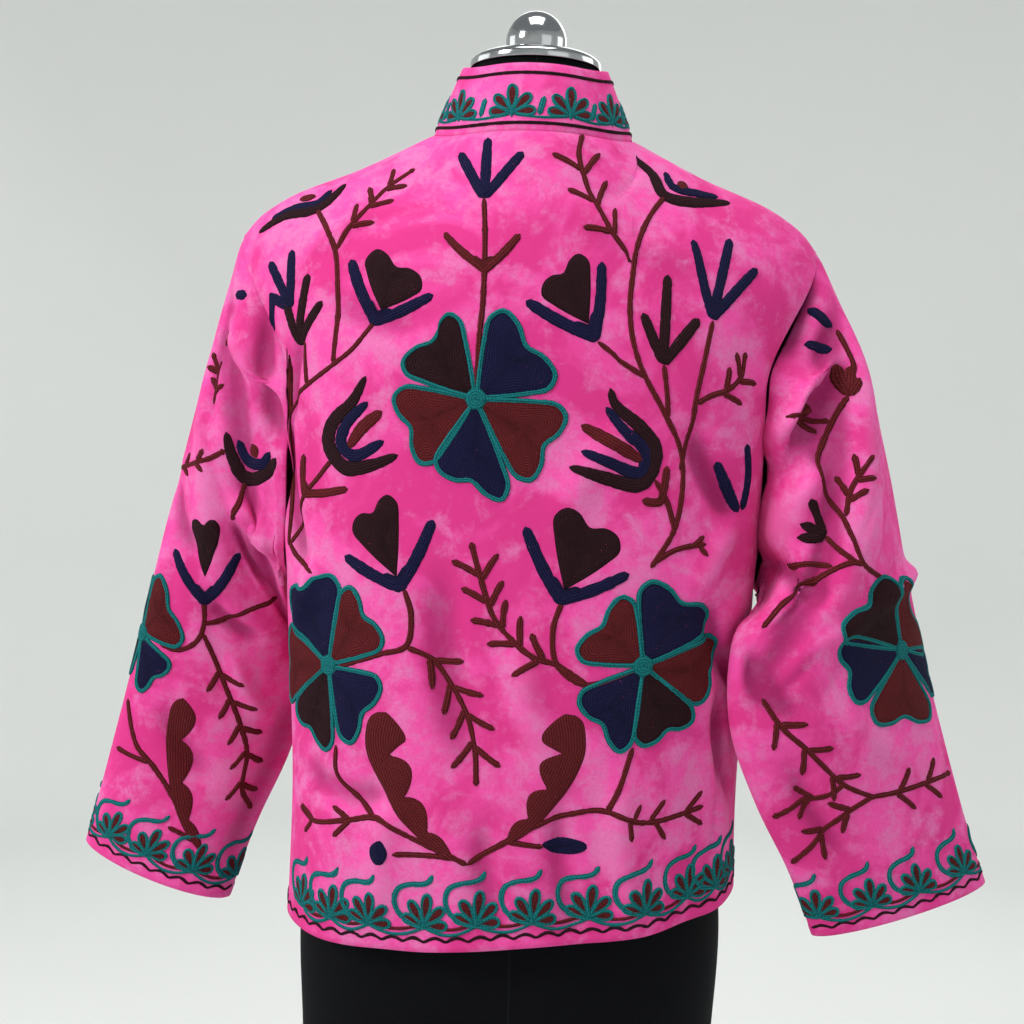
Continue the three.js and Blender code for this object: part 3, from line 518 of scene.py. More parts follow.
class Panel:
    """A cloth piece sampled on a grid of columns and rows: its points, outward normals, flat
    coordinates and height of fold, all in millimetres."""

    def __init__(self, name, points, relief, middle, ring=False):
        normal = grid_normals(points, ring)
        out = np.sign(np.sum(normal * (points - middle)))
        self.name = name
        self.ring = ring
        self.points = points + normal * out * relief[..., None]
        self.normals = grid_normals(self.points, ring) * out
        self.facing = out
        self.flat = None
        self.fold = relief.copy()

    def lay_flat(self, column, row, axis=None):
        """Flat coordinates by length: across from a column and up from a row. With an axis, the height
        is measured along it and the width square to it."""
        steps = np.diff(self.points, axis=0)
        if axis is None:
            wide = np.linalg.norm(steps, axis=-1)
            high = np.linalg.norm(np.diff(self.points, axis=1), axis=-1)
            t = np.concatenate([np.zeros((len(high), 1)), np.cumsum(high, 1)], 1)
            t = t - t[:, row:row + 1]
        else:
            wide = np.linalg.norm(steps - (steps @ axis)[..., None] * axis, axis=-1)
            t = self.points @ axis
        s = np.concatenate([np.zeros((1, wide.shape[1])), np.cumsum(wide, 0)], 0)
        self.flat = (s - s[column:column + 1], t)
        return self

    def look_up(self, grids, i, j):
        """Values of some grids at broken indices, by bilinear weights."""
        low_i = np.clip(np.floor(i).astype(int), 0, self.points.shape[0] - 2)
        low_j = np.clip(np.floor(j).astype(int), 0, self.points.shape[1] - 2)
        a, b = i - low_i, j - low_j
        found = []
        for grid in grids:
            w = [(1 - a) * (1 - b), a * (1 - b), (1 - a) * b, a * b]
            corners = [grid[low_i, low_j], grid[low_i + 1, low_j], grid[low_i, low_j + 1],
                       grid[low_i + 1, low_j + 1]]
            if grid.ndim == 3:
                w = [x[..., None] for x in w]
            found.append(sum(x * c for x, c in zip(w, corners)))
        return found

    def solve(self, grids, wanted, i, j, steps):
        """Broken indices where two grids take the wanted values, by Newton steps from a first guess."""
        a, b = grids
        slopes = [np.gradient(a, axis=0), np.gradient(a, axis=1), np.gradient(b, axis=0),
                  np.gradient(b, axis=1)]
        top_i, top_j = a.shape[0] - 1, a.shape[1] - 1
        for _ in range(steps):
            va, vb, ai, aj, bi, bj = self.look_up([a, b, *slopes], i, j)
            ra, rb = wanted[0] - va, wanted[1] - vb
            det = ai * bj - aj * bi
            det = np.where(np.abs(det) < 1e-6, 1e-6, det)
            i = np.clip(i + np.clip((ra * bj - rb * aj) / det, -9, 9), 0, top_i)
            j = np.clip(j + np.clip((rb * ai - ra * bi) / det, -9, 9), 0, top_j)
        return i, j

    def from_pixels(self, pixels):
        """Flat coordinates of the places that the camera sees at some pixels."""
        pixels = np.asarray(pixels, float).reshape(-1, 2)
        px, py = to_pixels(self.points)
        towards = np.sum(self.normals * (np.array(EYE, float) - self.points), -1) > 0
        far = (px[None] - pixels[:, 0, None, None]) ** 2 + (py[None] - pixels[:, 1, None, None]) ** 2
        far = np.where(towards[None], far, far + 4e4)
        nearest = far.reshape(len(pixels), -1).argmin(1)
        i, j = np.unravel_index(nearest, px.shape)
        near_i, near_j = i.astype(float), j.astype(float)
        i, j = self.solve((px, py), pixels.T, near_i, near_j, 6)
        x, y = self.look_up((px, py), i, j)
        missed = np.hypot(x - pixels[:, 0], y - pixels[:, 1]) > MISSED_BY
        strayed = missed | (np.hypot(i - near_i, j - near_j) > STRAYED_BY)
        i, j = np.where(strayed, near_i, i), np.where(strayed, near_j, j)
        return np.stack(self.look_up(self.flat, i, j), -1)

    def crease(self, x0, y0, x1, y1, half, depth):
        """A soft trough or ridge between two pixels of the photograph, drawn deeper than it looks."""
        ends = self.from_pixels([(x0, y0), (x1, y1)])
        push = near_line(self.flat[0], self.flat[1], (*ends[0], *ends[1], half, depth * FOLD_GAIN))
        self.points = self.points + self.normals * push[..., None]
        self.fold = self.fold + push
        self.normals = grid_normals(self.points, self.ring) * self.facing

    def lifted(self, flat, height):
        """Points at flat coordinates, raised off the cloth by a height."""
        s, t = self.flat
        mid = s.shape[0] // 2
        order = np.argsort(t[mid])
        j = np.interp(flat[:, 1], t[mid][order], order.astype(float))
        row = np.clip(np.round(j).astype(int), 0, s.shape[1] - 1)
        spread = (flat[:, 0] - s[0, row]) / (s[-1, row] - s[0, row])
        i = np.clip(spread, 0, 1) * (s.shape[0] - 1)
        i, j = self.solve(self.flat, flat.T, i, j, 26)
        x, y = self.look_up(self.flat, i, j)
        lost = np.nonzero(np.hypot(x - flat[:, 0], y - flat[:, 1]) > LOST_BY)[0]
        for part in np.array_split(lost, len(lost) // 400 + 1):
            if len(part) == 0:
                continue
            far = (s[None, ::2, ::2] - flat[part, 0, None, None]) ** 2
            far = far + (t[None, ::2, ::2] - flat[part, 1, None, None]) ** 2
            nearest = far.reshape(len(part), -1).argmin(1)
            found = np.unravel_index(nearest, far.shape[1:])
            i[part], j[part] = self.solve(self.flat, flat[part].T, found[0] * 2.0, found[1] * 2.0, 10)
        point, normal = self.look_up([self.points, self.normals], i, j)
        return point + normal * height[:, None], normal

    def edge(self, j):
        """Flat coordinates of the cloth's edge along one row."""
        return self.flat[0][:, j], self.flat[1][:, j]

    def shell_mesh(self, wall, turning, edge_row):
        """Mesh of the cloth: the outer grid, the inner grid a wall further in, and a rounded rim
        between them. The turned hem stands a little proud on both faces."""
        outer, normal = self.points, self.normals
        if edge_row is not None:
            rise = np.abs(self.flat[1] - self.flat[1][:, edge_row][:, None])
            proud = 0.5 * (1 - ease(turning - 1.5, turning + 1, rise)) - 0.35 * hump(rise, turning + 1, 1.6)
            outer = outer + normal * proud[..., None]
        inner = self.points - normal * wall
        columns, rows = outer.shape[:2]
        first = [outer, inner]
        grid = np.arange(columns * rows).reshape(columns, rows)
        if self.ring:
            grid[-1] = grid[0]
        inside = grid + columns * rows
        verts = [np.concatenate([g.reshape(-1, 3) for g in first])]
        faces = []

        def quads(a):
            return np.stack([a[:-1, :-1], a[1:, :-1], a[1:, 1:], a[:-1, 1:]], -1).reshape(-1, 4)

        faces.append(quads(grid))
        faces.append(quads(inside)[:, ::-1])
        count = 2 * columns * rows

        def rim(out, back, push):
            nonlocal count
            half = (outer.reshape(-1, 3)[out] + inner.reshape(-1, 3)[out]) / 2 + push * wall * 0.4
            ring_ids = np.arange(len(out)) + count
            if self.ring:
                ring_ids[-1] = ring_ids[0]
            verts.append(half)
            count += len(out)
            for a, b in ((out, ring_ids), (ring_ids, back)):
                faces.append(np.stack([a[:-1], b[:-1], b[1:], a[1:]], -1))

        def unit(v):
            return v / np.maximum(np.linalg.norm(v, axis=-1, keepdims=True), 1e-9)

        rim(grid[:, 0], inside[:, 0], unit(outer[:, 0] - outer[:, 1]))
        rim(grid[::-1, -1], inside[::-1, -1], unit(outer[::-1, -1] - outer[::-1, -2]))
        if not self.ring:
            rim(grid[0, ::-1], inside[0, ::-1], unit(outer[0, ::-1] - outer[1, ::-1]))
            rim(grid[-1], inside[-1], unit(outer[-1] - outer[-2]))
        faces = np.concatenate(faces)
        if self.facing < 0:
            faces = faces[:, ::-1]
        return np.concatenate(verts), faces


def add_mesh(name, points, faces, materials, uv=None, shades=None):
    """Object in metres from points in millimetres and faces with three or four corners."""
    mesh = bpy.data.meshes.new(name)
    faces = [tuple(f) for f in np.asarray(faces).tolist()]
    mesh.from_pydata((np.asarray(points) * MM).tolist(), [], faces)
    mesh.update()
    if uv is not None:
        corner = np.zeros(len(mesh.loops), np.int32)
        mesh.loops.foreach_get("vertex_index", corner)
        layer = mesh.uv_layers.new(name="stitches")
        layer.data.foreach_set("uv", np.asarray(uv, np.float32)[corner].ravel())
    for material in materials:
        mesh.materials.append(material)
    if shades is not None:
        mesh.polygons.foreach_set("material_index", np.asarray(shades, np.int32))
    mesh.polygons.foreach_set("use_smooth", np.ones(len(mesh.polygons), bool))
    made = bpy.data.objects.new(name, mesh)
    bpy.context.scene.collection.objects.link(made)
    return made


def merged(made):
    """Joins the points of a mesh that lie in one place, drops faces with no area and turns its faces
    outwards."""
    work = bmesh.new()
    work.from_mesh(made.data)
    bmesh.ops.remove_doubles(work, verts=work.verts, dist=2e-6)
    bmesh.ops.dissolve_degenerate(work, edges=work.edges, dist=1e-7)
    bmesh.ops.recalc_face_normals(work, faces=work.faces)
    work.to_mesh(made.data)
    work.free()
    return made


def through(points, step, closed=False):
    """Smooth curve through points at even steps: cubic pieces over the length between them."""
    points = np.asarray(points, float)
    count = len(points)
    if closed:
        points = np.concatenate([points[-2:], points, points[:3]])
    gaps = np.linalg.norm(np.diff(points, axis=0), axis=1)
    lengths = np.concatenate([[0], np.cumsum(np.maximum(gaps, 1e-6))])
    low, high = (lengths[2], lengths[2 + count]) if closed else (0, lengths[-1])
    fine = np.linspace(low, high, 24 * count + 1)
    line = np.stack([smooth_curve(lengths, points[:, k], fine) for k in (0, 1)], -1)
    run = np.concatenate([[0], np.cumsum(np.linalg.norm(np.diff(line, axis=0), axis=1))])
    places = np.linspace(0, run[-1], max(int(round(run[-1] / step)), 3) + 1)
    line = np.stack([np.interp(places, run, line[:, k]) for k in (0, 1)], -1)
    return line[:-1] if closed else line


def square_to(line, closed=False):
    """Unit vectors square to a flat line, on its left."""
    if closed:
        along = np.roll(line, -1, 0) - np.roll(line, 1, 0)
    else:
        along = np.gradient(line, axis=0)
    along = along / np.maximum(np.linalg.norm(along, axis=1, keepdims=True), 1e-9)
    return np.stack([-along[:, 1], along[:, 0]], -1)


def unit2(v):
    """A flat vector at length 1."""
    return v / max(float(np.hypot(v[0], v[1])), 1e-9)


# Half outlines of a leaf and a bud from base to tip: share of the length, share of half the width
OVAL = [(0, 0.1), (0.2, 0.42), (0.5, 0.86), (0.76, 1.0), (0.95, 0.72), (1.03, 0.3), (1.04, 0)]
BUD = [(0, 0.3), (0.25, 0.8), (0.5, 1.0), (0.75, 0.85), (0.95, 0.45), (1.0, 0)]

# A border scroll from a palmette's foot, in units of the palmette's size
CURL = [(0.12, -0.072), (-0.42, 0.018), (-0.86, 0.306), (-1.02, 0.72), (-0.9, 1.116), (-0.52, 1.296),
        (-0.1, 1.35), (0.14, 1.458), (0.26, 1.692)]
NAVY, BROWN, RUST, TEAL = 0, 1, 2, 3


class Stitching:
    """Chain-stitched shapes on one panel. They are drawn in the panel's flat millimetres, and laid on
    its surface together."""

    def __init__(self, panel, sizes, seed):
        self.panel = panel
        self.stem = sizes.stem / MM
        self.rope = sizes.rope / MM
        self.relief = sizes.relief / MM
        self.random = np.random.default_rng(seed)
        self.flat, self.heights, self.uv, self.faces, self.threads = [], [], [], [], []
        self.count = 0

    def see(self, *pixels):
        """Flat places of pixels of the photograph."""
        return self.panel.from_pixels(pixels)

    def lay(self, flat, height, uv, faces, thread):
        """Keeps one shape's grid until all are laid."""
        self.flat.append(flat.reshape(-1, 2))
        self.heights.append(height.ravel())
        self.uv.append(uv.reshape(-1, 2))
        self.faces.append(faces + self.count)
        self.threads.append(np.full(len(faces), thread))
        self.count += height.size

    def band(self, line, left, right, thread, lift=1.0, columns=5, closed=False):
        """A filled band along a line, with its own width on each side at each place, domed across."""
        share = np.sin(np.linspace(-0.5, 0.5, columns) * math.pi)
        side = square_to(line, closed)
        offset = np.where(share[None] > 0, left[:, None] * share, right[:, None] * share)
        flat = line[:, None] + side[:, None] * offset[..., None]
        dome = np.sqrt(np.clip(1 - share ** 4, 0, 1))
        wide = np.clip((left + right) / 3, 0, 1)
        height = self.relief * lift * dome[None] * (0.25 + 0.75 * wide[:, None]) - 0.25
        gap = np.linalg.norm(np.diff(line, axis=0), axis=1)
        run = np.concatenate([[0], np.cumsum(gap)])
        uv = np.stack([np.broadcast_to(run[:, None], offset.shape), offset], -1)
        n, m = offset.shape
        ids = np.arange(n * m).reshape(n, m)
        if closed:
            ids = np.concatenate([ids, ids[:1]])
        faces = np.stack([ids[:-1, :-1], ids[1:, :-1], ids[1:, 1:], ids[:-1, 1:]], -1).reshape(-1, 4)
        self.lay(flat, height, uv, faces, thread)

    def cord(self, points, thread=RUST, width=None, lift=1.0, closed=False, step=3.0):
        """A line of chain stitch through points, rounded at its ends."""
        line = through(points, step, closed)
        width = self.stem if width is None else width
        half = np.full(len(line), width / 2) * (1 + 0.07 * self.random.standard_normal(len(line)))
        if not closed:
            run = np.arange(len(line)) * np.linalg.norm(line[1] - line[0])
            end = np.clip(np.minimum(run, run[::-1]) / (width / 2), 0, 1)
            half = half * np.maximum(np.sqrt(1 - (1 - end) ** 2), 0.35)
        self.band(line, half, half, thread, lift, 5, closed)

    def stroke(self, points, width, thread, taper=0.35):
        """A long leaf through points: full over its middle, and drawn in towards its ends."""
        line = through(points, 2.6)
        share = np.linspace(0, 1, len(line))
        length = np.linalg.norm(np.diff(line, axis=0), axis=1).sum()
        swell = taper + (1 - taper) * np.sin(share * math.pi) ** 0.5
        end = np.clip(np.minimum(share, 1 - share) * length / (width / 2), 0, 1)
        half = width / 2 * swell * np.maximum(np.sqrt(1 - (1 - end) ** 2), 0.2)
        half = half * (1 + 0.04 * self.random.standard_normal(len(line)))
        self.band(line, half, half, thread, 1.15, 7)

    def patch(self, outline, thread, lift=1.15, rings=7):
        """A filled shape inside a closed line, in rows that follow its edge. Each row is the edge drawn
        towards the middle by an even share."""
        middle = outline.mean(0)
        share = np.linspace(1, 0, rings) ** 0.8
        flat = middle + (outline[None] - middle) * share[:, None, None]
        radius = np.linalg.norm(outline - middle, axis=1)
        gap = np.linalg.norm(outline - np.roll(outline, 1, 0), axis=1)
        run = np.cumsum(gap)
        height = self.relief * lift * np.sqrt(np.clip(1 - share ** 14, 0, 1))[:, None] - 0.25
        height = np.broadcast_to(height, flat.shape[:2]).copy()
        inward = radius[None] * (1 - share[:, None])
        uv = np.stack([np.broadcast_to(run[None], inward.shape), inward], -1)
        n, m = inward.shape
        ids = np.arange(n * m).reshape(n, m)
        ids = np.concatenate([ids, ids[:, :1]], 1)
        faces = np.stack([ids[:-1, :-1], ids[1:, :-1], ids[1:, 1:], ids[:-1, 1:]], -1).reshape(-1, 4)
        self.lay(flat, height, uv, faces, thread)

    def outline(self, base, tip, width, half_shape, step=3.2):
        """Closed line of a leaf or bud that runs from its base to its tip."""
        axis = tip - base
        length = float(np.hypot(*axis))
        along = axis / max(length, 1e-9)
        left = np.array([-along[1], along[0]])
        shape = np.array(half_shape)
        whole = np.concatenate([shape[:-1] * (1, 1), [shape[-1]], shape[-2:0:-1] * (1, -1)])
        x = whole[:, 0] * length
        points = base + along * x[:, None] + left * (whole[:, 1] * width / 2)[:, None]
        return through(points, step, closed=True)

    def petal(self, base, one, two, thread, rope=True, notch=0.04, full=1.0):
        """A petal or heart: nearly straight sides from its base, which swell before each of its two
        lobes, and a shallow notch between them. Its rope runs along the edge."""
        middle = (one + two) / 2
        width = float(np.hypot(*(one - two)))
        halves = []
        for lobe, other in ((one, two), (two, one)):
            way = lobe - base
            out = unit2(np.array([-way[1], way[0]]))
            out = out if np.dot(out, lobe - other) > 0 else -out
            halves.append([base + way * 0.08 + out * width * 0.03,
                           base + way * 0.36 + out * width * 0.09 * full,
                           base + way * 0.66 + out * width * 0.14 * full,
                           base + way * 0.9 + out * width * 0.15 * full,
                           lobe + unit2(way) * width * 0.03,
                           lobe + (other - lobe) * 0.24 + unit2(middle - base) * width * 0.05])
        dip = middle + (base - middle) * notch
        line = through(np.array([base, *halves[0], dip, *halves[1][::-1]]), 3.0, closed=True)
        self.patch(line, thread)
        if rope:
            self.cord(line, TEAL, self.rope, 1.35, closed=True, step=2.2)

    def flower(self, centre, petals, heart=9.5):
        """Two-lobed petals round a teal disc."""
        for one, two, thread in petals:
            middle = (one + two) / 2
            self.petal(centre + unit2(middle - centre) * heart * 0.2, one, two, thread)
        angle = np.linspace(0, 2 * math.pi, 18, endpoint=False)
        ring = centre + heart * np.stack([np.cos(angle), np.sin(angle)], -1)
        self.patch(ring, TEAL, 1.7, 5)

    def fingers(self, base, tips, thread, width=9.4):
        """A bud with three blunt fingers, which leave one solid base."""
        for tip in tips:
            self.stroke([base, base + (tip - base) * 0.5, tip], width, thread, 0.72)
        ends = [base + (tip - base) * 0.3 for tip in (tips[1], tips[2])]
        self.petal(base, ends[0], ends[1], thread, rope=False, notch=0.0)

    def vee(self, arm, vertex, other, thread, width=8.8):
        """Two long leaves that meet in a point and bow a little outwards."""
        for tip, away in ((arm, other), (other, arm)):
            middle = (vertex + tip) / 2
            bow = unit2(middle - (vertex + away) / 2) * width * 0.2
            self.stroke([vertex - unit2(tip - vertex) * 3, middle + bow, tip], width, thread, 0.72)
        ends = [vertex + (tip - vertex) * 0.34 for tip in (arm, other)]
        self.petal(vertex, ends[0], ends[1], thread, rope=False, notch=0.5, full=0.2)

    def twig(self, points, sprigs=5, size=11.0, start=0.2):
        """A stem with short blunt sprigs on both sides by turns."""
        self.cord(points)
        line = through(points, 2.0)
        side = square_to(line)
        along = np.stack([side[:, 1], -side[:, 0]], -1)
        for k in range(sprigs):
            at = int((start + (0.98 - start) * k / max(sprigs, 1)) * (len(line) - 1))
            for hand in (1, -1):
                spread = 0.9 + 0.25 * self.random.random()
                root = line[max(at - (0 if hand > 0 else 2), 0)]
                end = root + size * (along[at] + side[at] * hand * spread)
                self.cord([root, root * 0.45 + end * 0.55 + along[at] * 0.8, end], RUST, 5.6, 1.1)
        self.cord([line[-3], line[-1] + along[-1] * 3], RUST, 5.4, 1.15)

    def scalloped(self, points, width, hand, lobes):
        """A broad leaf along a line: smooth on one side, with round lobes on the other."""
        line = through(points, 2.0)
        share = np.linspace(0, 1, len(line))
        body = width * np.clip(0.16 + 1.05 * share ** 0.75, 0, 1)
        end = np.clip((1 - share) * 9, 0, 1)
        body = body * np.sqrt(1 - (1 - end) ** 2)
        wave = np.abs(np.sin(share ** 0.9 * math.pi * lobes)) ** 0.7
        smooth, cut = body * 0.5, body * (0.12 + 0.62 * wave)
        pair = (cut, smooth) if hand > 0 else (smooth, cut)
        self.band(line, pair[0], pair[1], RUST, 1.15, 9)

    def palmette(self, base, up, size, leaves=5, spread=158.0):
        """A fan of small rust leaves, each in a teal loop, and a teal foot."""
        side = np.array([-up[1], up[0]])
        for k in range(leaves):
            share = k / (leaves - 1) - 0.5
            turn = math.radians(spread) * share
            reach = size * (1 - 0.26 * abs(share) * 2)
            way = up * math.cos(turn) + side * math.sin(turn)
            start, tip = base + way * size * 0.1, base + way * reach
            line = self.outline(start, tip, size * 0.3, OVAL, step=2.4)
            self.patch(line, RUST, 1.0, 4)
            self.cord(line, TEAL, 2.9, 1.3, closed=True, step=2.2)
        self.cord([base - up * size * 0.12, base + up * size * 0.34], TEAL, 4.6, 1.25)

    def border(self, edge, places, size=24.5, rise=21.0):
        """Palmettes with scrolls over a swagged double line, and a wavy line below, along an edge that
        is given by its flat places."""
        s, t = edge
        order = np.argsort(s)
        s, t = s[order], t[order]

        def above(x, up):
            return np.stack([x, np.interp(x, s, t) + up], -1)

        places = np.asarray(places, float)
        wave = np.arange(s[0] + 2, s[-1] - 2, 4.5)
        swing = np.interp(np.arange(len(wave)) % 4, [0, 1, 2, 3], [-1, 0.2, 1, 0.2])
        self.cord(above(wave, rise * 0.45 + 1.5 * swing), BROWN, 2.7, step=1.7)
        for a, b in zip(places[:-1], places[1:]):
            x = np.linspace(a, b, 9)
            sag = 6.5 * np.sin(np.linspace(0, math.pi, 9))
            self.cord(above(x, rise - sag - 1.4), TEAL, 2.8, 1.1)
            self.cord(above(x, rise - sag * 0.72 + 1.4), RUST, 2.9, 1.0)
        for x in places:
            base = above(np.array([x]), rise)[0]
            self.palmette(base, unit2(np.array([0.1, 1.0])), size)
            self.cord(base + np.array(CURL) * size, TEAL, 4.6, 1.2)

    def make(self, name, materials):
        """The joined mesh of all that was laid. A face that would look inwards is turned round."""
        flat = np.concatenate(self.flat)
        height = np.concatenate(self.heights)
        points, normal = self.panel.lifted(flat, height)
        faces = np.concatenate(self.faces)
        corner = points[faces]
        way = np.cross(corner[:, 2] - corner[:, 0], corner[:, 3] - corner[:, 1])
        inward = np.sum(way * normal[faces[:, 0]], -1) < 0
        faces[inward] = faces[inward][:, ::-1]
        kept = np.linalg.norm(way, axis=1) > 0.004
        threads = np.concatenate(self.threads)[kept]
        return add_mesh(name, points, faces[kept], materials, np.concatenate(self.uv), threads)


class Value:
    """A number socket of a material, so that sums are written as expressions."""

    def __init__(self, finish, socket):
        self.finish = finish
        self.socket = socket

    def join(self, operation, *others, first=False):
        """One Math node on this value and others."""
        items = [self, *others] if not first else [*others, self]
        inputs = {k: item for k, item in enumerate(items)}
        made = self.finish.node("ShaderNodeMath", {"operation": operation}, inputs)
        return Value(self.finish, made.outputs[0])

    def __add__(self, other):
        return self.join("ADD", other)

    def __radd__(self, other):
        return self.join("ADD", other, first=True)

    def __sub__(self, other):
        return self.join("SUBTRACT", other)

    def __rsub__(self, other):
        return self.join("SUBTRACT", other, first=True)

    def __mul__(self, other):
        return self.join("MULTIPLY", other)

    def __rmul__(self, other):
        return self.join("MULTIPLY", other, first=True)

    def __truediv__(self, other):
        return self.join("DIVIDE", other)

    def __pow__(self, other):
        return self.join("POWER", other)

    def __abs__(self):
        return self.join("ABSOLUTE")

    def sine(self):
        """Sine of the value."""
        return self.join("SINE")

    def step(self, low, high):
        """0 below low and 1 above high, smooth between them."""
        made = self.finish.node("ShaderNodeMapRange", {"interpolation_type": "SMOOTHSTEP"},
                                {"Value": self, "From Min": low, "From Max": high})
        return Value(self.finish, made.outputs["Result"])


class Finish:
    """Nodes of one material."""

    def __init__(self, name):
        self.material = bpy.data.materials.new(name)
        self.material.use_nodes = True
        self.tree = self.material.node_tree
        self.tree.nodes.clear()
        self.place = self.node("ShaderNodeTexCoord").outputs["Object"]

    def node(self, kind, settings=None, inputs=None):
        """A node of a type, with its settings first and then its sockets' values or links."""
        made = self.tree.nodes.new(kind)
        for name, value in (settings or {}).items():
            setattr(made, name, value)
        for name, value in (inputs or {}).items():
            if isinstance(value, Value):
                value = value.socket
            if isinstance(value, bpy.types.NodeSocket):
                self.tree.links.new(value, made.inputs[name])
            else:
                made.inputs[name].default_value = value
        return made

    def noise(self, scale, detail=3.0, rough=0.55, twist=0.0):
        """Cloudy noise from 0 to 1 on the object's own metres."""
        made = self.node("ShaderNodeTexNoise", {}, {"Vector": self.place, "Scale": scale,
                                                   "Detail": detail, "Roughness": rough,
                                                   "Distortion": twist})
        return Value(self, made.outputs["Fac"])

    def mix(self, share, a, b):
        """Colour between two others."""
        sides = [(*c, 1) if isinstance(c, tuple) and len(c) == 3 else c for c in (a, b)]
        made = self.node("ShaderNodeMix", {"data_type": "RGBA"}, {0: share, 6: sides[0], 7: sides[1]})
        return made.outputs[2]

    def bump(self, height, distance, strength=1.0):
        """Normal from a height."""
        made = self.node("ShaderNodeBump", {}, {"Height": height, "Distance": distance,
                                               "Strength": strength})
        return made.outputs["Normal"]

    def close(self, **sockets):
        """The surface shader with its sockets, and the material's output."""
        names = {k.replace("_", " "): v for k, v in sockets.items()}
        shader = self.node("ShaderNodeBsdfPrincipled", {}, names)
        self.node("ShaderNodeOutputMaterial", {}, {"Surface": shader.outputs[0]})
        return self.material


def colour(value):
    """Plain numbers of a colour property."""
    return tuple(value[:3])


def velvet_finish(colours):
    """Crushed cotton velvet: clouds of brushed and deep pile, small mottles, fine nap, soft sheen. By the
    fold height, painted shade darkens the pile in a fold's trough and a painted highlight makes it
    paler on its ridge."""
    f = Finish("pink_velvet")
    fold = Value(f, f.node("ShaderNodeAttribute", {"attribute_name": "fold"}).outputs["Fac"])
    clouds = f.noise(11, 4, 0.62, twist=0.6)
    mottles = f.noise(48, 5, 0.7, twist=0.3)
    nap = f.noise(420, 3, 0.7)
    base = f.mix(clouds.step(0.4, 0.6), colour(colours.deep), colour(colours.velvet))
    pale = (mottles * 0.6 + clouds * 0.4).step(0.46, 0.62) * 0.85
    brushed = f.mix(pale, base, colour(colours.brushed))
    specks_and_painted_fold_shade = f.mix(nap.step(0.35, 0.75) * 0.35, brushed, colour(colours.deep))
    # Painted shade in a fold's trough and painted highlight on its ridge, from the fold height
    trough = (fold * -1 + mottles * 1.5).step(1.2, 8.5) * 0.72
    ridge = (fold + mottles * 1.5).step(2.2, 10) * 0.4
    specks_and_painted_fold_shade = f.mix(ridge, specks_and_painted_fold_shade, colour(colours.brushed))
    specks_and_painted_fold_shade = f.mix(trough, specks_and_painted_fold_shade, tuple(c * 0.42 for c in colour(colours.deep)[:3]))
    height = mottles * 0.5 + nap * 0.4 + f.noise(1500, 2, 0.6) * 0.3
    return f.close(Base_Color=specks_and_painted_fold_shade, Roughness=0.86 - pale * 0.12, Normal=f.bump(height, 0.0009, 0.5),
                   Sheen_Weight=0.1, Sheen_Roughness=0.45, Sheen_Tint=(1.0, 0.5, 0.78, 1),
                   Specular_IOR_Level=0.08)


def wool_finish(name, thread, pink, flecks):
    """Chain-stitched wool: rows and links from the stitches' own coordinates in millimetres, fuzz, and
    flecks of velvet that show between the rows. Painted shade darkens the grooves between rows and
    links and a painted highlight pales their tops, mixed with random fuzz."""
    f = Finish(name)
    uv = f.node("ShaderNodeUVMap", {"uv_map": "stitches"}).outputs[0]
    parts = f.node("ShaderNodeSeparateXYZ", {}, {0: uv})
    u, v = Value(f, parts.outputs[0]), Value(f, parts.outputs[1])
    fuzz = f.noise(900, 3, 0.7)
    row = abs((v * (math.pi / 2.2) + f.noise(160, 2, 0.5) * 1.2).sine())
    link = abs((u * (math.pi / 2.9) + abs(v) * 0.9).sine())
    height = row ** 0.5 * (0.45 + 0.55 * link ** 0.6)
    # Painted shade in the grooves between stitches and painted highlight on their tops, mixed with random
    # fuzz
    shade = (height * 0.55 + fuzz * 0.45).step(0.15, 0.8)
    dark = tuple(c * 0.38 for c in thread)
    light = tuple(min(c * 1.55 + 0.006, 1) for c in thread)
    wool = f.mix(shade, dark, light)
    fleck = f.noise(620, 2, 0.6).step(0.69, 0.75) * f.noise(70, 2, 0.5).step(0.48, 0.62) * flecks
    return f.close(Base_Color=f.mix(fleck, wool, pink), Roughness=0.8 + 0.15 * fuzz,
                   Normal=f.bump(height + fuzz * 0.35, 0.0009, 0.9),
                   Specular_IOR_Level=0.1)


def jersey_finish(colours):
    """Black jersey cover: fine ribs, faint dust and one seam down the middle of the back and front."""
    f = Finish("black_jersey")
    parts = f.node("ShaderNodeSeparateXYZ", {}, {0: f.place})
    x = Value(f, parts.outputs[0])
    rib = abs((x * (math.pi / 0.0011)).sine())
    seam = (abs(x) / 0.0016).step(0.2, 1)
    cloud = f.noise(18, 3, 0.6)
    base = colour(colours.jersey)
    body = f.mix(cloud.step(0.3, 0.8), base, tuple(c * 1.9 for c in base))
    dressed = f.mix(seam, tuple(c * 3 for c in base), body)
    height = rib * 0.25 + f.noise(900, 2) * 0.4 + seam * 1.4
    return f.close(Base_Color=dressed, Roughness=0.72 + 0.2 * cloud, Normal=f.bump(height, 0.0005, 0.6),
                   Specular_IOR_Level=0.08)


def chrome_finish(colours):
    """Polished chrome with faint wipe marks."""
    f = Finish("chrome")
    smear = f.noise(35, 4, 0.6)
    wipe = f.noise(260, 2, 0.5)
    tint = colour(colours.chrome)
    base = f.mix(smear.step(0.3, 0.8), tint, tuple(c * 0.9 for c in tint))
    return f.close(Base_Color=base, Metallic=1.0, Roughness=0.07 + 0.08 * smear,
                   Normal=f.bump(wipe, 0.0001, 0.2))


def room_finish(colours):
    """Plain pale paint of the studio."""
    f = Finish("studio_paint")
    base = colour(colours.room)
    shade = f.mix(f.noise(2.2, 2), base, tuple(c * 0.97 for c in base))
    return f.close(Base_Color=shade, Roughness=0.9, Specular_IOR_Level=0.1)


FINISHES = {}


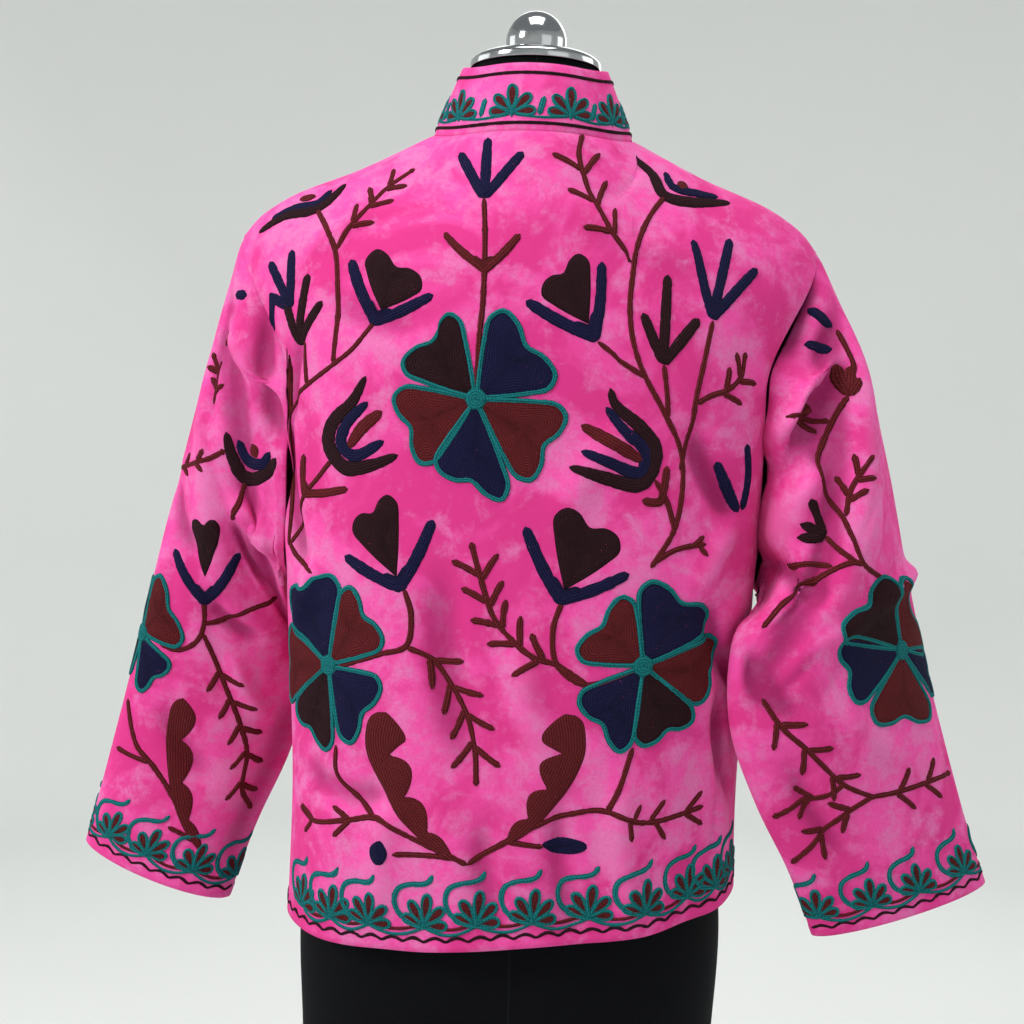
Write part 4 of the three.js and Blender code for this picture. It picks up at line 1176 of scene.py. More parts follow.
def finishes(colours):
    """All the materials, made once."""
    if not FINISHES:
        pink = colour(colours.velvet)
        FINISHES["velvet"] = velvet_finish(colours)
        FINISHES["threads"] = [
            wool_finish("navy_wool", colour(colours.navy), pink, 0.45),
            wool_finish("brown_wool", colour(colours.brown), pink, 0.45),
            wool_finish("rust_wool", colour(colours.rust), pink, 0.55),
            wool_finish("teal_wool", colour(colours.teal), pink, 0.1),
        ]
        FINISHES["jersey"] = jersey_finish(colours)
        FINISHES["chrome"] = chrome_finish(colours)
    return FINISHES


def shoulder_places(count):
    """Places across from the neck corner to the side, closer together near the side."""
    return NECK_CORNER + (1 - NECK_CORNER) * np.sin(np.linspace(0, 1, count + 1) * math.pi / 2)


def row_places(count):
    """Rows from the hem to the neck, about evenly apart on the cloth."""
    parts = [np.linspace(0, HEM_ROWS, int(count * 0.42) + 1)[:-1],
             np.linspace(HEM_ROWS, HEM_ROWS + ARM_ROWS, int(count * 0.22) + 1)[:-1],
             np.linspace(HEM_ROWS + ARM_ROWS, ALL_ROWS, int(count * 0.36) + 1)]
    return np.concatenate(parts)


def back_panel(sizes):
    """Grid of the back, from its left side to its right side."""
    side = shoulder_places(int(sizes.columns * 0.32))
    count = int(sizes.columns * 0.36)
    middle = NECK_CORNER * -np.cos(np.linspace(0, 1, count + 1) * math.pi)
    g, row = np.meshgrid(np.concatenate([-side[::-1], middle[1:-1], side]), row_places(sizes.rows),
                         indexing="ij")
    panel = Panel("back", jacket_body("back", g, row), body_relief("back", g, row), (0, 0, 1100))
    start = int(np.argmin(np.abs(row[0] - HEM_ROWS)))
    return panel.lay_flat(g.shape[0] // 2, start)


def front_grid(hand, sizes):
    """Grid of one front. Its columns run so that the flat coordinates read from outside."""
    side = shoulder_places(int(sizes.columns * 0.32))
    middle = NECK_CORNER * np.sin(np.linspace(0, 1, int(sizes.columns * 0.2) + 1) * math.pi / 2)
    places = np.concatenate([middle[:-1], side])
    if hand > 0:
        places = places[::-1]
    g, row = np.meshgrid(places, row_places(int(sizes.rows * 0.8)), indexing="ij")
    relief = body_relief("front", hand * g, row)
    panel = Panel("front", front_panel(hand, g, row), relief, (0, 0, 1100))
    start = int(np.argmin(np.abs(row[0] - HEM_ROWS)))
    return panel.lay_flat(int(np.argmin(g[:, 0])), start)


def sleeve_grid(hand, sizes):
    """Grid of one sleeve: round from the underarm and down to the cuff."""
    turns = np.linspace(0, 1, int(sizes.columns * 0.9) + 1)
    if hand < 0:
        turns = turns[::-1]
    turn, along = np.meshgrid(turns, np.linspace(0, 1, int(sizes.rows * 0.9) + 1), indexing="ij")
    points = sleeve_surface(hand, turn, along)
    middle = points.mean(0)[None]
    panel = Panel("sleeve", points, sleeve_relief(hand, turn, along), middle, ring=True)
    start, end = points[:, 0].mean(0), points[:, -1].mean(0)
    axis = (start - end) / np.linalg.norm(start - end)
    return panel.lay_flat(int(np.argmin(np.abs(turns - 0.25))), 0, axis)


def collar_grid():
    """Grid of the collar, from its right front edge round the back to its left one."""
    turn, rise = np.meshgrid(np.linspace(1, 0, 161), np.linspace(0, 1, 21), indexing="ij")
    relief = -0.8 * hump(rise * COLLAR_HEIGHT, 0, 4) + 0.5 * np.sin(turn * 23) * rise
    panel = Panel("collar", collar_surface(turn, rise), relief, (0, 0, 1450))
    return panel.lay_flat(80, 0)


def dress(name, node, panel, context, edge_row=None, pieces=()):
    """The cloth shell of a panel, riding on the frame in its node's place."""
    sizes = context.scene.jacket_sizes
    points, faces = panel.shell_mesh(sizes.cloth / MM, sizes.turning / MM, edge_row)
    cloth = add_mesh(name, points, faces, [finishes(context.scene.jacket_colours)["velvet"]])
    # Fold height of each outer point, from which the velvet paints shade in troughs and a highlight on ridges
    fold = np.zeros(len(points), np.float32)
    fold[:panel.fold.size] = panel.fold.ravel()
    cloth.data.attributes.new("fold", "FLOAT", "POINT").data.foreach_set("value", fold)
    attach(cloth, "root")
    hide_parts(node)
    for piece in pieces:
        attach(piece, "root")
    return cloth


# Flowers in pixels: the centre, then the two lobes and the thread of each petal
BACK_FLOWERS = [
    ((476, 399), [
        ((449, 316), (405, 361), BROWN), ((504, 313), (553, 375), NAVY), ((564, 417), (530, 478), RUST),
        ((501, 498), (441, 470), NAVY), ((421, 461), (396, 397), RUST)]),
    ((329, 665), [
        ((331, 578), (292, 592), NAVY), ((350, 589), (381, 639), RUST), ((379, 688), (350, 741), NAVY),
        ((326, 748), (298, 712), BROWN), ((291, 694), (291, 630), RUST)]),
    ((643, 666), [
        ((622, 599), (579, 650), RUST), ((652, 584), (705, 614), NAVY), ((714, 641), (703, 699), RUST),
        ((691, 720), (643, 744), BROWN), ((620, 750), (581, 703), NAVY)]),
]

# Hearts: base, two lobes, then the leaves below: one tip, vertex, other tip
BACK_HEARTS = [
    ((381, 311), (376, 250), (420, 278), (351, 260), (375, 322), (433, 295)),
    ((589, 325), (579, 254), (543, 285), (602, 262), (595, 338), (526, 301)),
    ((397, 578), (388, 495), (354, 521), (433, 520), (400, 588), (345, 556)),
    ((564, 591), (566, 508), (618, 538), (525, 527), (560, 601), (629, 574)),
]

# Nested tulips: outer leaf pair, middle pair and core
BACK_TULIPS = [
    [[(366, 376), (352, 402), (332, 424), (329, 446), (346, 468), (372, 465), (398, 455)],
     [(368, 402), (348, 422), (341, 442), (354, 456), (384, 441)], [(382, 411), (362, 428), (348, 448)]],
    [[(610, 388), (616, 405), (643, 430), (655, 450), (651, 472), (638, 485), (608, 479), (569, 467)],
     [(606, 407), (626, 432), (645, 450), (641, 473), (608, 462), (581, 451)],
     [(581, 425), (608, 440), (643, 461)]],
    [[(259, 233), (285, 216), (316, 209), (333, 197), (346, 184)],
     [(272, 219), (295, 208), (318, 203), (332, 190)], [(300, 199), (316, 197)]],
    [[(636, 156), (652, 174), (664, 195), (690, 202), (730, 203)],
     [(665, 172), (673, 187), (700, 194), (718, 197)], [(684, 182), (680, 192)]],
]

# Three-fingered buds: base, middle tip, outer tips, thread
BACK_BUDS = [
    ((484, 198), [(488, 138), (460, 153), (523, 152)], NAVY),
    ((302, 345), [(308, 274), (285, 299), (322, 301)], BROWN),
    ((291, 308), [(270, 262), (292, 250), (268, 296)], NAVY),
    ((663, 364), [(668, 275), (643, 313), (699, 319)], BROWN),
    ((712, 319), [(730, 239), (693, 240), (757, 269)], NAVY),
]

# Strokes beside the right armhole: points, width and thread
BACK_STROKES = [
    ([(716, 462), (726, 486), (738, 512)], 9.0, NAVY),
    ([(747, 444), (748, 476), (742, 510)], 9.0, NAVY),
]

# Pairs of leaves on stems: one tip, vertex, other tip
BACK_VEES = [
    [(444, 233), (485, 270), (520, 234)],
    [(304, 454), (304, 494), (348, 489)],
    [(667, 466), (661, 502), (642, 500)],
]

# Stems through pixels
BACK_STEMS = [
    [(484, 198), (485, 240), (483, 300), (479, 340), (477, 388)],
    [(374, 322), (353, 348), (331, 366), (307, 385), (292, 411), (290, 440), (291, 480), (289, 545)],
    [(333, 363), (338, 315), (335, 250), (317, 209)],
    [(305, 342), (307, 385)],
    [(281, 372), (284, 392), (291, 411)],
    [(331, 461), (316, 480), (303, 498), (291, 543)],
    [(290, 543), (297, 556), (312, 573)],
    [(404, 589), (411, 615), (406, 646), (380, 654), (340, 666)],
    [(598, 342), (623, 363), (646, 378)],
    [(665, 196), (650, 216), (638, 244), (633, 273), (630, 307), (633, 340), (644, 374), (667, 418),
     (680, 448), (683, 480), (675, 528), (651, 568)],
    [(664, 365), (668, 419)],
    [(713, 321), (705, 359), (696, 400), (690, 430), (680, 470)],
    [(655, 480), (667, 502), (675, 531)],
    [(652, 564), (676, 550), (706, 544)],
    [(562, 602), (553, 630), (557, 665), (586, 685), (640, 668)],
    [(336, 745), (339, 777), (362, 800), (374, 818)],
    [(633, 748), (621, 785), (607, 812)],
    [(467, 865), (449, 856), (411, 838), (376, 818), (348, 820), (313, 820), (301, 806)],
    [(467, 865), (506, 842), (539, 825), (582, 812), (607, 812), (642, 823), (679, 815), (703, 806)],
    [(392, 855), (432, 856), (452, 859)],
    [(507, 842), (543, 847)],
]

# Twigs: points, then the number of pairs of sprigs, their size and where they start
BACK_TWIGS = [
    [[(406, 647), (432, 659), (451, 684), (467, 715), (475, 752), (476, 782)], 4, 23, 0.2],
    [[(588, 686), (557, 665), (536, 659), (517, 645), (495, 620), (484, 590), (472, 546)], 5, 21, 0.3],
    [[(697, 404), (711, 396), (726, 391), (741, 377), (745, 356)], 2, 18, 0.45],
    [[(336, 250), (347, 230), (366, 209), (386, 189), (412, 171)], 3, 19, 0.28],
    [[(631, 262), (613, 233), (594, 200), (585, 179), (579, 154), (582, 137)], 3, 23, 0.3],
]

# Single sprigs: root and tip
BACK_SPRIGS = [
    [(350, 820), (333, 806)], [(350, 820), (333, 836)], [(314, 821), (302, 804)], [(312, 821), (305, 831)],
    [(634, 821), (641, 805)], [(630, 820), (632, 842)], [(650, 821), (665, 800)], [(654, 820), (665, 839)],
    [(684, 814), (702, 791)], [(684, 813), (702, 824)], [(692, 548), (704, 536)], [(699, 546), (708, 556)],
]

# Scalloped leaves: points from base to tip, width, side of the lobes
BACK_LEAVES = [
    [[(452, 859), (432, 842), (409, 812), (391, 776), (381, 744), (386, 712)], 36, -1],
    [[(507, 843), (533, 818), (556, 784), (568, 750), (565, 714)], 36, 1],
]
BACK_PALMETTES = [(331, 903), (368, 914), (424, 919), (476, 920), (532, 921), (589, 913), (645, 906),
                  (687, 899), (715, 879)]

# Left sleeve, seen from the back
LEFT_SLEEVE = {
    "hearts": [((205, 578), (193, 520), (216, 521), (175, 549), (205, 602), (240, 553))],
    "tulips": [[[(226, 432), (232, 456), (246, 478), (266, 474), (276, 458)],
                [(238, 440), (248, 460), (262, 464), (270, 452)], [(252, 444), (257, 458)]]],
    "buds": [],
    "strokes": [([(247, 295), (236, 295)], 9.0, NAVY), ([(230, 330), (226, 346)], 5.0, RUST)],
    "stems": [[(204, 602), (204, 624), (196, 642), (178, 650), (160, 644)],
              [(204, 624), (226, 618), (250, 610), (277, 597)],
              [(128, 699), (136, 744), (153, 766), (173, 797), (198, 846)],
              [(117, 747), (132, 756), (150, 763)],
              [(196, 842), (182, 834), (168, 827)], [(246, 480), (240, 500), (232, 520)]],
    "twigs": [[[(203, 634), (215, 660), (226, 688), (240, 724), (247, 752), (242, 788), (250, 806)],
               5, 19, 0.22],
              [[(182, 468), (204, 460), (222, 452)], 2, 12, 0.2],
              [[(214, 404), (218, 380), (214, 356)], 2, 12, 0.3]],
    "leaves": [[[(201, 850), (190, 830), (181, 800), (178, 768), (178, 730), (183, 698)], 26, -1]],
    "flower": ((143, 632), [((161, 578), (181, 638), RUST), ((168, 668), (141, 690), NAVY),
                            ((112, 668), (108, 640), BROWN), ((120, 592), (146, 574), BROWN)]),
    "palmettes": [(112, 828), (146, 855), (187, 884), (226, 898)],
}

# Right sleeve, seen from the back
RIGHT_SLEEVE = {
    "hearts": [],
    "tulips": [],
    "buds": [((848, 396), [(851, 366), (836, 364), (860, 378)], RUST),
             ((825, 537), [(811, 499), (800, 524), (797, 538)], BROWN)],
    "strokes": [([(808, 309), (820, 316), (832, 327)], 10.0, NAVY),
                ([(804, 345), (817, 347), (832, 349)], 9.0, NAVY)],
    "stems": [[(848, 396), (834, 418), (822, 444), (818, 464), (825, 491), (842, 516), (852, 536), (864, 564),
               (882, 577)],
              [(851, 378), (854, 367), (847, 349), (837, 330)],
              [(864, 564), (850, 563), (819, 578), (786, 601), (762, 628)],
              [(825, 536), (842, 552), (858, 563)], [(786, 566), (806, 564), (832, 566)]],
    "twigs": [[[(762, 699), (783, 729), (806, 749), (821, 764), (844, 785), (872, 797)], 3, 20, 0.2],
              [[(872, 797), (898, 792), (933, 780), (948, 773)], 2, 20, 0.3],
              [[(872, 797), (844, 815), (819, 836), (794, 861)], 2, 18, 0.3],
              [[(844, 785), (829, 795), (801, 801), (776, 816)], 1, 18, 0.5],
              [[(846, 516), (851, 490), (862, 472), (872, 458)], 2, 17, 0.3],
              [[(786, 417), (806, 420), (825, 421)], 1, 14, 0.5]],
    "leaves": [],
    "flower": ((901, 650), [((884, 579), (845, 628), BROWN), ((842, 645), (856, 700), NAVY),
                            ((877, 721), (928, 717), RUST), ((938, 692), (932, 652), NAVY),
                            ((928, 640), (906, 580), RUST)]),
    "palmettes": [(814, 901), (868, 889), (913, 869), (956, 850)],
}
# Creases by pixels: two ends, half width and depth in millimetres
BACK_FOLDS = [
    (300, 330, 292, 420, 9, -3.0), (283, 420, 300, 560, 12, -4.5), (318, 560, 300, 640, 10, 3.0),
    (690, 430, 735, 520, 11, -4.5), (735, 520, 700, 600, 12, 4.0), (708, 600, 735, 690, 9, -4.5),
    (716, 700, 730, 800, 9, -3.5), (300, 760, 420, 800, 12, -2.4), (520, 640, 560, 800, 16, 3.2),
    (440, 560, 470, 780, 18, -3.0), (620, 780, 640, 930, 13, 3.4), (400, 780, 380, 930, 14, 3.4),
    (480, 820, 500, 940, 12, -2.8), (560, 800, 575, 935, 10, -2.6), (640, 420, 560, 520, 14, 2.2),
    (330, 300, 420, 330, 12, -2.0), (560, 200, 700, 260, 14, 2.0), (300, 250, 380, 200, 12, 1.8),
]
SLEEVE_FOLDS_SEEN = {
    -1: [(233, 322, 281, 398, 8, 5.0), (284, 300, 280, 440, 9, -5.0), (236, 499, 277, 555, 9, 5.5),
         (228, 520, 268, 580, 7, -4.5), (205, 600, 262, 640, 8, -3.5), (170, 470, 200, 560, 10, -3.0),
         (232, 660, 268, 720, 8, 3.5), (160, 700, 210, 780, 11, -2.6), (226, 330, 210, 440, 9, -2.8)],
    1: [(783, 269, 785, 361, 10, -4.0), (832, 358, 763, 462, 8, 6.0), (842, 372, 776, 474, 7, -6.0),
        (833, 315, 817, 471, 9, -3.2), (817, 471, 780, 560, 9, 4.5), (760, 560, 830, 600, 8, -4.5),
        (750, 600, 800, 660, 9, 4.0), (745, 650, 800, 720, 9, -4.0), (858, 540, 880, 620, 14, -1.2),
        (840, 700, 900, 760, 12, 2.6), (790, 760, 850, 860, 11, -2.6)],
}
PIXEL_WIDTH = 0.8


def stitch_list(work, hearts=(), tulips=(), buds=(), vees=(), stems=(), twigs=(), leaves=(), flowers=(),
                sprigs=(), strokes=(), see=None):
    """Lays every motif of some lists. see turns their places into flat ones."""
    see = see or work.see
    size = PIXEL_WIDTH
    for points in stems:
        work.cord(see(*points))
    for points, count, length, start in twigs:
        work.twig(see(*points), count, length * size, start=start)
    for root, tip in sprigs:
        work.cord(see(root, tip), RUST, 5.0, 1.1)
    for points, width, hand in leaves:
        work.scalloped(see(*points), width * size, hand, 4)
    for base, one, two, arm, vertex, other in hearts:
        places = see(base, one, two, arm, vertex, other)
        work.vee(places[3], places[4], places[5], NAVY, 10.2)
        work.petal(places[0], places[1], places[2], BROWN, rope=False, notch=0.06, full=1.35)
    for outer, middle, core in tulips:
        work.stroke(see(*outer), 13.0, BROWN, 0.3)
        work.stroke(see(*middle), 11.0, NAVY, 0.35)
        work.stroke(see(*core), 11.0, RUST, 0.4)
    for base, tips, thread in buds:
        places = see(base, *tips)
        work.fingers(places[0], places[1:], thread)
    for arm, vertex, other in vees:
        places = see(arm, vertex, other)
        work.vee(places[0], places[1], places[2], RUST, 7.4)
    for points, width, thread in strokes:
        work.stroke(see(*points), width, thread, 0.75)
    for centre, petals in flowers:
        places = see(centre, *[p for one, two, thread in petals for p in (one, two)])
        rows = [(places[1 + 2 * k], places[2 + 2 * k], petals[k][2]) for k in range(len(petals))]
        work.flower(places[0], rows)


def spray(work, origin, scale, mirror):
    """A plain run of the same motifs for a side that the photograph doesn't show: a flower with a heart
    and a bud above it, twigs, and a nested tulip below. The places are millimetres from an origin."""
    def see(*places):
        flat = np.array(places, float) * scale
        flat[:, 0] *= mirror
        return flat + origin

    petals = []
    for k, thread in enumerate((NAVY, RUST, BROWN, NAVY, RUST)):
        turn = math.radians(94 - 72 * k)
        ends = [(50 * math.cos(turn + a), 50 * math.sin(turn + a)) for a in (0.5, -0.5)]
        petals.append((ends[0], ends[1], thread))
    stitch_list(
        work, see=see,
        stems=[[(4, 46), (10, 90), (-2, 140), (4, 168)], [(-20, -44), (-10, -80), (6, -120), (2, -150)],
               [(10, 90), (34, 112), (40, 128)], [(-2, 140), (-24, 118), (-30, 96)]],
        twigs=[[[(4, 168), (-18, 190), (-22, 222)], 3, 19, 0.2],
               [[(-10, -80), (-36, -96), (-44, -128)], 3, 17, 0.2],
               [[(6, -120), (34, -112), (52, -84)], 3, 17, 0.2]],
        hearts=[((42, 134), (34, 184), (70, 176), (20, 160), (40, 124), (80, 150))],
        buds=[((-30, 96), [(-36, 152), (-56, 130), (-12, 136)], NAVY)],
        tulips=[[[(-28, -136), (-24, -166), (2, -184), (28, -166), (34, -136)],
                 [(-12, -140), (-8, -162), (8, -168), (20, -144)], [(4, -134), (4, -162)]]],
        flowers=[((0, 0), petals)],
    )


class JACKET_OT_back(bpy.types.Operator):
    """Make the back of the jacket with its embroidery."""
    bl_idname = "jacket.back"
    bl_label = "Back"

    def execute(self, context):
        sizes = context.scene.jacket_sizes
        threads = finishes(context.scene.jacket_colours)["threads"]
        panel = back_panel(sizes)
        for fold in BACK_FOLDS:
            panel.crease(*fold)
        work = Stitching(panel, sizes, 3)
        stitch_list(work, BACK_HEARTS, BACK_TULIPS, BACK_BUDS, BACK_VEES, BACK_STEMS, BACK_TWIGS, BACK_LEAVES,
                    BACK_FLOWERS, BACK_SPRIGS, BACK_STROKES)
        ends = work.see((377, 840), (378, 866), (541, 847), (588, 847))
        work.patch(work.outline(ends[0], ends[1], 16, BUD), NAVY)
        work.patch(work.outline(ends[2], ends[3], 14, BUD), NAVY)
        places = work.see(*BACK_PALMETTES)[:, 0]
        gap = np.diff(places).mean()
        more = [places[0] - gap * 0.9, *places, places[-1] + gap * 0.8]
        work.border(panel.edge(0), more)
        made = work.make("embroidery_back", threads)
        dress("jacket_back", "back", panel, context, 0, [made])
        return {"FINISHED"}


class JACKET_OT_fronts(bpy.types.Operator):
    """Make both fronts of the jacket with their embroidery."""
    bl_idname = "jacket.fronts"
    bl_label = "Fronts"

    def execute(self, context):
        sizes = context.scene.jacket_sizes
        threads = finishes(context.scene.jacket_colours)["threads"]
        for hand, word in ((-1, "left"), (1, "right")):
            panel = front_grid(hand, sizes)
            work = Stitching(panel, sizes, 7 + hand)
            low, high = panel.flat[0][:, 0].min(), panel.flat[0][:, 0].max()
            middle = (low + high) / 2
            spray(work, np.array([middle, -40.0]), 0.95, hand)
            work.border(panel.edge(0), np.linspace(low + 26, high - 18, 5))
            column = 0 if hand < 0 else -1
            s, t = panel.flat[0][column], panel.flat[1][column]
            inner = 7 if s[len(s) // 2] < middle else -7
            keep = (t > t.min() + 22) & (t < t.max() - 8)
            work.cord(np.stack([s[keep] + inner, t[keep]], -1)[::6], BROWN, 3.0)
            made = work.make(f"embroidery_front_{word}", threads)
            dress(f"jacket_front_{word}", f"front_{word}", panel, context, 0, [made])
        return {"FINISHED"}


class JACKET_OT_sleeves(bpy.types.Operator):
    """Make both sleeves with their embroidery."""
    bl_idname = "jacket.sleeves"
    bl_label = "Sleeves"

    def execute(self, context):
        sizes = context.scene.jacket_sizes
        threads = finishes(context.scene.jacket_colours)["threads"]
        for hand, word, motifs in ((-1, "left", LEFT_SLEEVE), (1, "right", RIGHT_SLEEVE)):
            panel = sleeve_grid(hand, sizes)
            for fold in SLEEVE_FOLDS_SEEN[hand]:
                panel.crease(*fold)
            work = Stitching(panel, sizes, 20 + hand)
            stitch_list(work, motifs["hearts"], motifs["tulips"], motifs["buds"], (), motifs["stems"],
                        motifs["twigs"], motifs["leaves"], [motifs["flower"]], (), motifs["strokes"])
            s, t = panel.flat
            half = (s[-1, -40] - s[0, -40]) / 2
            away = 1 if abs(s[-1, 0]) > abs(s[0, 0]) else -1
            level = t[s.shape[0] // 2, int(s.shape[1] * 0.62)]
            spray(work, np.array([away * half, level]), 0.85, -hand)
            seen = work.see(*motifs["palmettes"])[:, 0]
            gap = abs(np.diff(seen)).mean()
            edge = panel.edge(-1)
            low, high = edge[0].min() + 8, edge[0].max() - 8
            before = np.arange(seen.min() - gap, low, -gap)[::-1]
            after = np.arange(seen.max() + gap, high, gap)
            places = np.concatenate([before, np.sort(seen), after])
            work.border(edge, places, 23.0, 20.0)
            made = work.make(f"embroidery_sleeve_{word}", threads)
            dress(f"jacket_sleeve_{word}", f"sleeve_{word}", panel, context, -1, [made])
        return {"FINISHED"}


class JACKET_OT_collar(bpy.types.Operator):
    """Make the stand collar with its embroidery."""
    bl_idname = "jacket.collar"
    bl_label = "Collar"

    def execute(self, context):
        sizes = context.scene.jacket_sizes
        threads = finishes(context.scene.jacket_colours)["threads"]
        panel = collar_grid()
        work = Stitching(panel, sizes, 31)
        s, t = panel.flat
        for row, thread in ((2, BROWN), (17, BROWN)):
            line = np.stack([s[2:-2:5, row], t[2:-2:5, row]], -1)
            work.cord(line, thread, 3.2)
        seen = work.see((458, 128), (512, 107), (571, 107), (612, 122))
        others = np.linspace(s[:, 8].min() + 24, seen[0, 0] - 46, 2)
        places = np.concatenate([others, seen[:, 0], -others[::-1]])
        rise = 14
        middle = np.interp(places, s[:, 8], t[:, 8]) * 0 + rise
        for k, x in enumerate(places):
            work.palmette(np.array([x, middle[k]]), np.array([0.0, 1.0]), 25, 5, 160)
        for a, b in zip(places[:-1], places[1:]):
            work.cord([(a + 2, rise - 1), ((a + b) / 2, rise - 3), (b - 2, rise - 1)], TEAL, 2.6)
            centre = (a + b) / 2
            work.stroke([(centre - 2, rise - 1), (centre, rise + 8), (centre + 2, rise + 16)], 5.4, TEAL, 0.8)
        made = work.make("embroidery_collar", threads)
        dress("jacket_collar", "collar", panel, context, None, [made])
        return {"FINISHED"}


def turned(name, profile, steps, material, node, slot):
    """Turned piece: a profile of radius and height carried round the upright axis."""
    profile = np.array(profile, float)
    angle = np.linspace(0, 2 * math.pi, steps + 1)
    x = profile[:, 0, None] * np.cos(angle)
    y = profile[:, 0, None] * np.sin(angle)
    points = np.stack([x, y, np.broadcast_to(profile[:, 1, None], x.shape)], -1)
    ids = np.arange(x.size).reshape(x.shape)
    ids[:, -1] = ids[:, 0]
    faces = np.stack([ids[:-1, :-1], ids[:-1, 1:], ids[1:, 1:], ids[1:, :-1]], -1).reshape(-1, 4)
    made = merged(add_mesh(name, points.reshape(-1, 3), faces, [material]))
    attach(made, "root")
    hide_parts(node)
    return made


def arc(start, end, count):
    """Even angles in degrees, as radians."""
    return np.radians(np.linspace(start, end, count))


class JACKET_OT_form(bpy.types.Operator):
    """Make the dress form's torso in black jersey."""
    bl_idname = "jacket.form"
    bl_label = "Dress form"

    def execute(self, context):
        corner = FORM_NECK["radius"] / FORM_SHOULDER["half"]
        side = corner + (1 - corner) * np.sin(np.linspace(0, 1, 33) * math.pi / 2)
        middle = -corner * np.cos(np.linspace(0, 1, 29) * math.pi)
        across = np.concatenate([-side[::-1], middle[1:-1], side])
        g = np.concatenate([across, across[::-1][1:]])
        sign = np.concatenate([-np.ones(len(across)), np.ones(len(across) - 1)])
        rows = np.concatenate([[-1, -0.5, -0.15], np.linspace(0, 1, 61), np.linspace(1, 2, 41)[1:],
                               np.linspace(2, 3, 8)[1:], [3.5, 4]])
        gg, rr = np.meshgrid(g, rows, indexing="ij")
        points = form_surface(gg, sign[:, None] * np.ones_like(gg), rr)
        ids = np.arange(gg.size).reshape(gg.shape)
        ids[-1] = ids[0]
        faces = np.stack([ids[:-1, :-1], ids[1:, :-1], ids[1:, 1:], ids[:-1, 1:]], -1).reshape(-1, 4)
        foot = np.array([[0, 0, FORM_FOOT["z"]]])
        centre = np.full(len(ids) - 1, gg.size)
        fan = np.stack([centre, ids[1:, 0], ids[:-1, 0], ids[:-1, 0]], -1)[:, :3]
        quads = [tuple(q) for q in faces.tolist()] + [tuple(q) for q in fan.tolist()]
        finish = finishes(context.scene.jacket_colours)["jersey"]
        mesh = bpy.data.meshes.new("form_cover")
        mesh.from_pydata((np.concatenate([points.reshape(-1, 3), foot]) * MM).tolist(), [], quads)
        mesh.materials.append(finish)
        mesh.polygons.foreach_set("use_smooth", np.ones(len(mesh.polygons), bool))
        made = bpy.data.objects.new("form_cover", mesh)
        context.scene.collection.objects.link(made)
        merged(made)
        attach(made, "root")
        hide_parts("form_torso")
        return {"FINISHED"}


class JACKET_OT_stand(bpy.types.Operator):
    """Make the chrome cap, ball, pole and base."""
    bl_idname = "jacket.stand"
    bl_label = "Cap, ball and stand"

    def execute(self, context):
        chrome = finishes(context.scene.jacket_colours)["chrome"]
        low, high = CAP["z"], CAP["z"] + CAP["rim"]
        crown = [(FINIAL["stem"] + (CAP["radius"] - FINIAL["stem"]) * math.cos(a),
                  high + CAP["rise"] * math.sin(a)) for a in arc(0, 90, 17)]
        lip = [(CAP["radius"] - CAP_LIP + CAP_LIP * math.cos(a), low + CAP_LIP + CAP_LIP * math.sin(a))
               for a in arc(-90, 0, 5)]
        plate = [(0, low), *lip, *crown, (0, high + CAP["rise"])]
        turned("cap_plate", plate, 96, chrome, "neck_cap", "chrome")
        foot = high + CAP["rise"] + 0.3
        start = -math.degrees(math.acos(FINIAL["stem"] / FINIAL["radius"]))
        centre = foot - FINIAL["radius"] * math.sin(math.radians(start))
        ball = [(FINIAL["radius"] * math.cos(a), centre + FINIAL["radius"] * math.sin(a))
                for a in arc(start, 90, 41)]
        turned("ball", [(0, foot), *ball], 72, chrome, "finial", "chrome")
        r = POLE["radius"]
        turned("pole", [(0, POLE["bottom"]), (r, POLE["bottom"]), (r, 300), (r, 304), (r, POLE["top"]),
                        (0, POLE["top"])], 48, chrome, "stand_pole", "chrome")
        slope = [(BASE["hub"] + (BASE["radius"] - BASE["hub"]) * math.cos(a) ** 1.4,
                  BASE["edge"] + BASE["rise"] * math.sin(a) ** 2) for a in arc(0, 90, 21)]
        top = POLE["bottom"] - SEAM
        rim = [(0, 0), (BASE["radius"] - 2, 0), (BASE["radius"], 2)]
        turned("base_plate", [*rim, *slope, (BASE["hub"], top), (0, top)], 96, chrome, "stand_base", "chrome")
        return {"FINISHED"}


def softbox(name, place, aim, size, power):
    """A square area light that looks at a point."""
    lamp = bpy.data.lights.new(name, "AREA")
    lamp.shape = "SQUARE"
    lamp.size = size
    lamp.energy = power
    made = bpy.data.objects.new(name, lamp)
    bpy.context.scene.collection.objects.link(made)
    made.location = place
    made.rotation_mode = "QUATERNION"
    made.rotation_quaternion = (Vector(aim) - Vector(place)).to_track_quat("-Z", "Y")
    return made


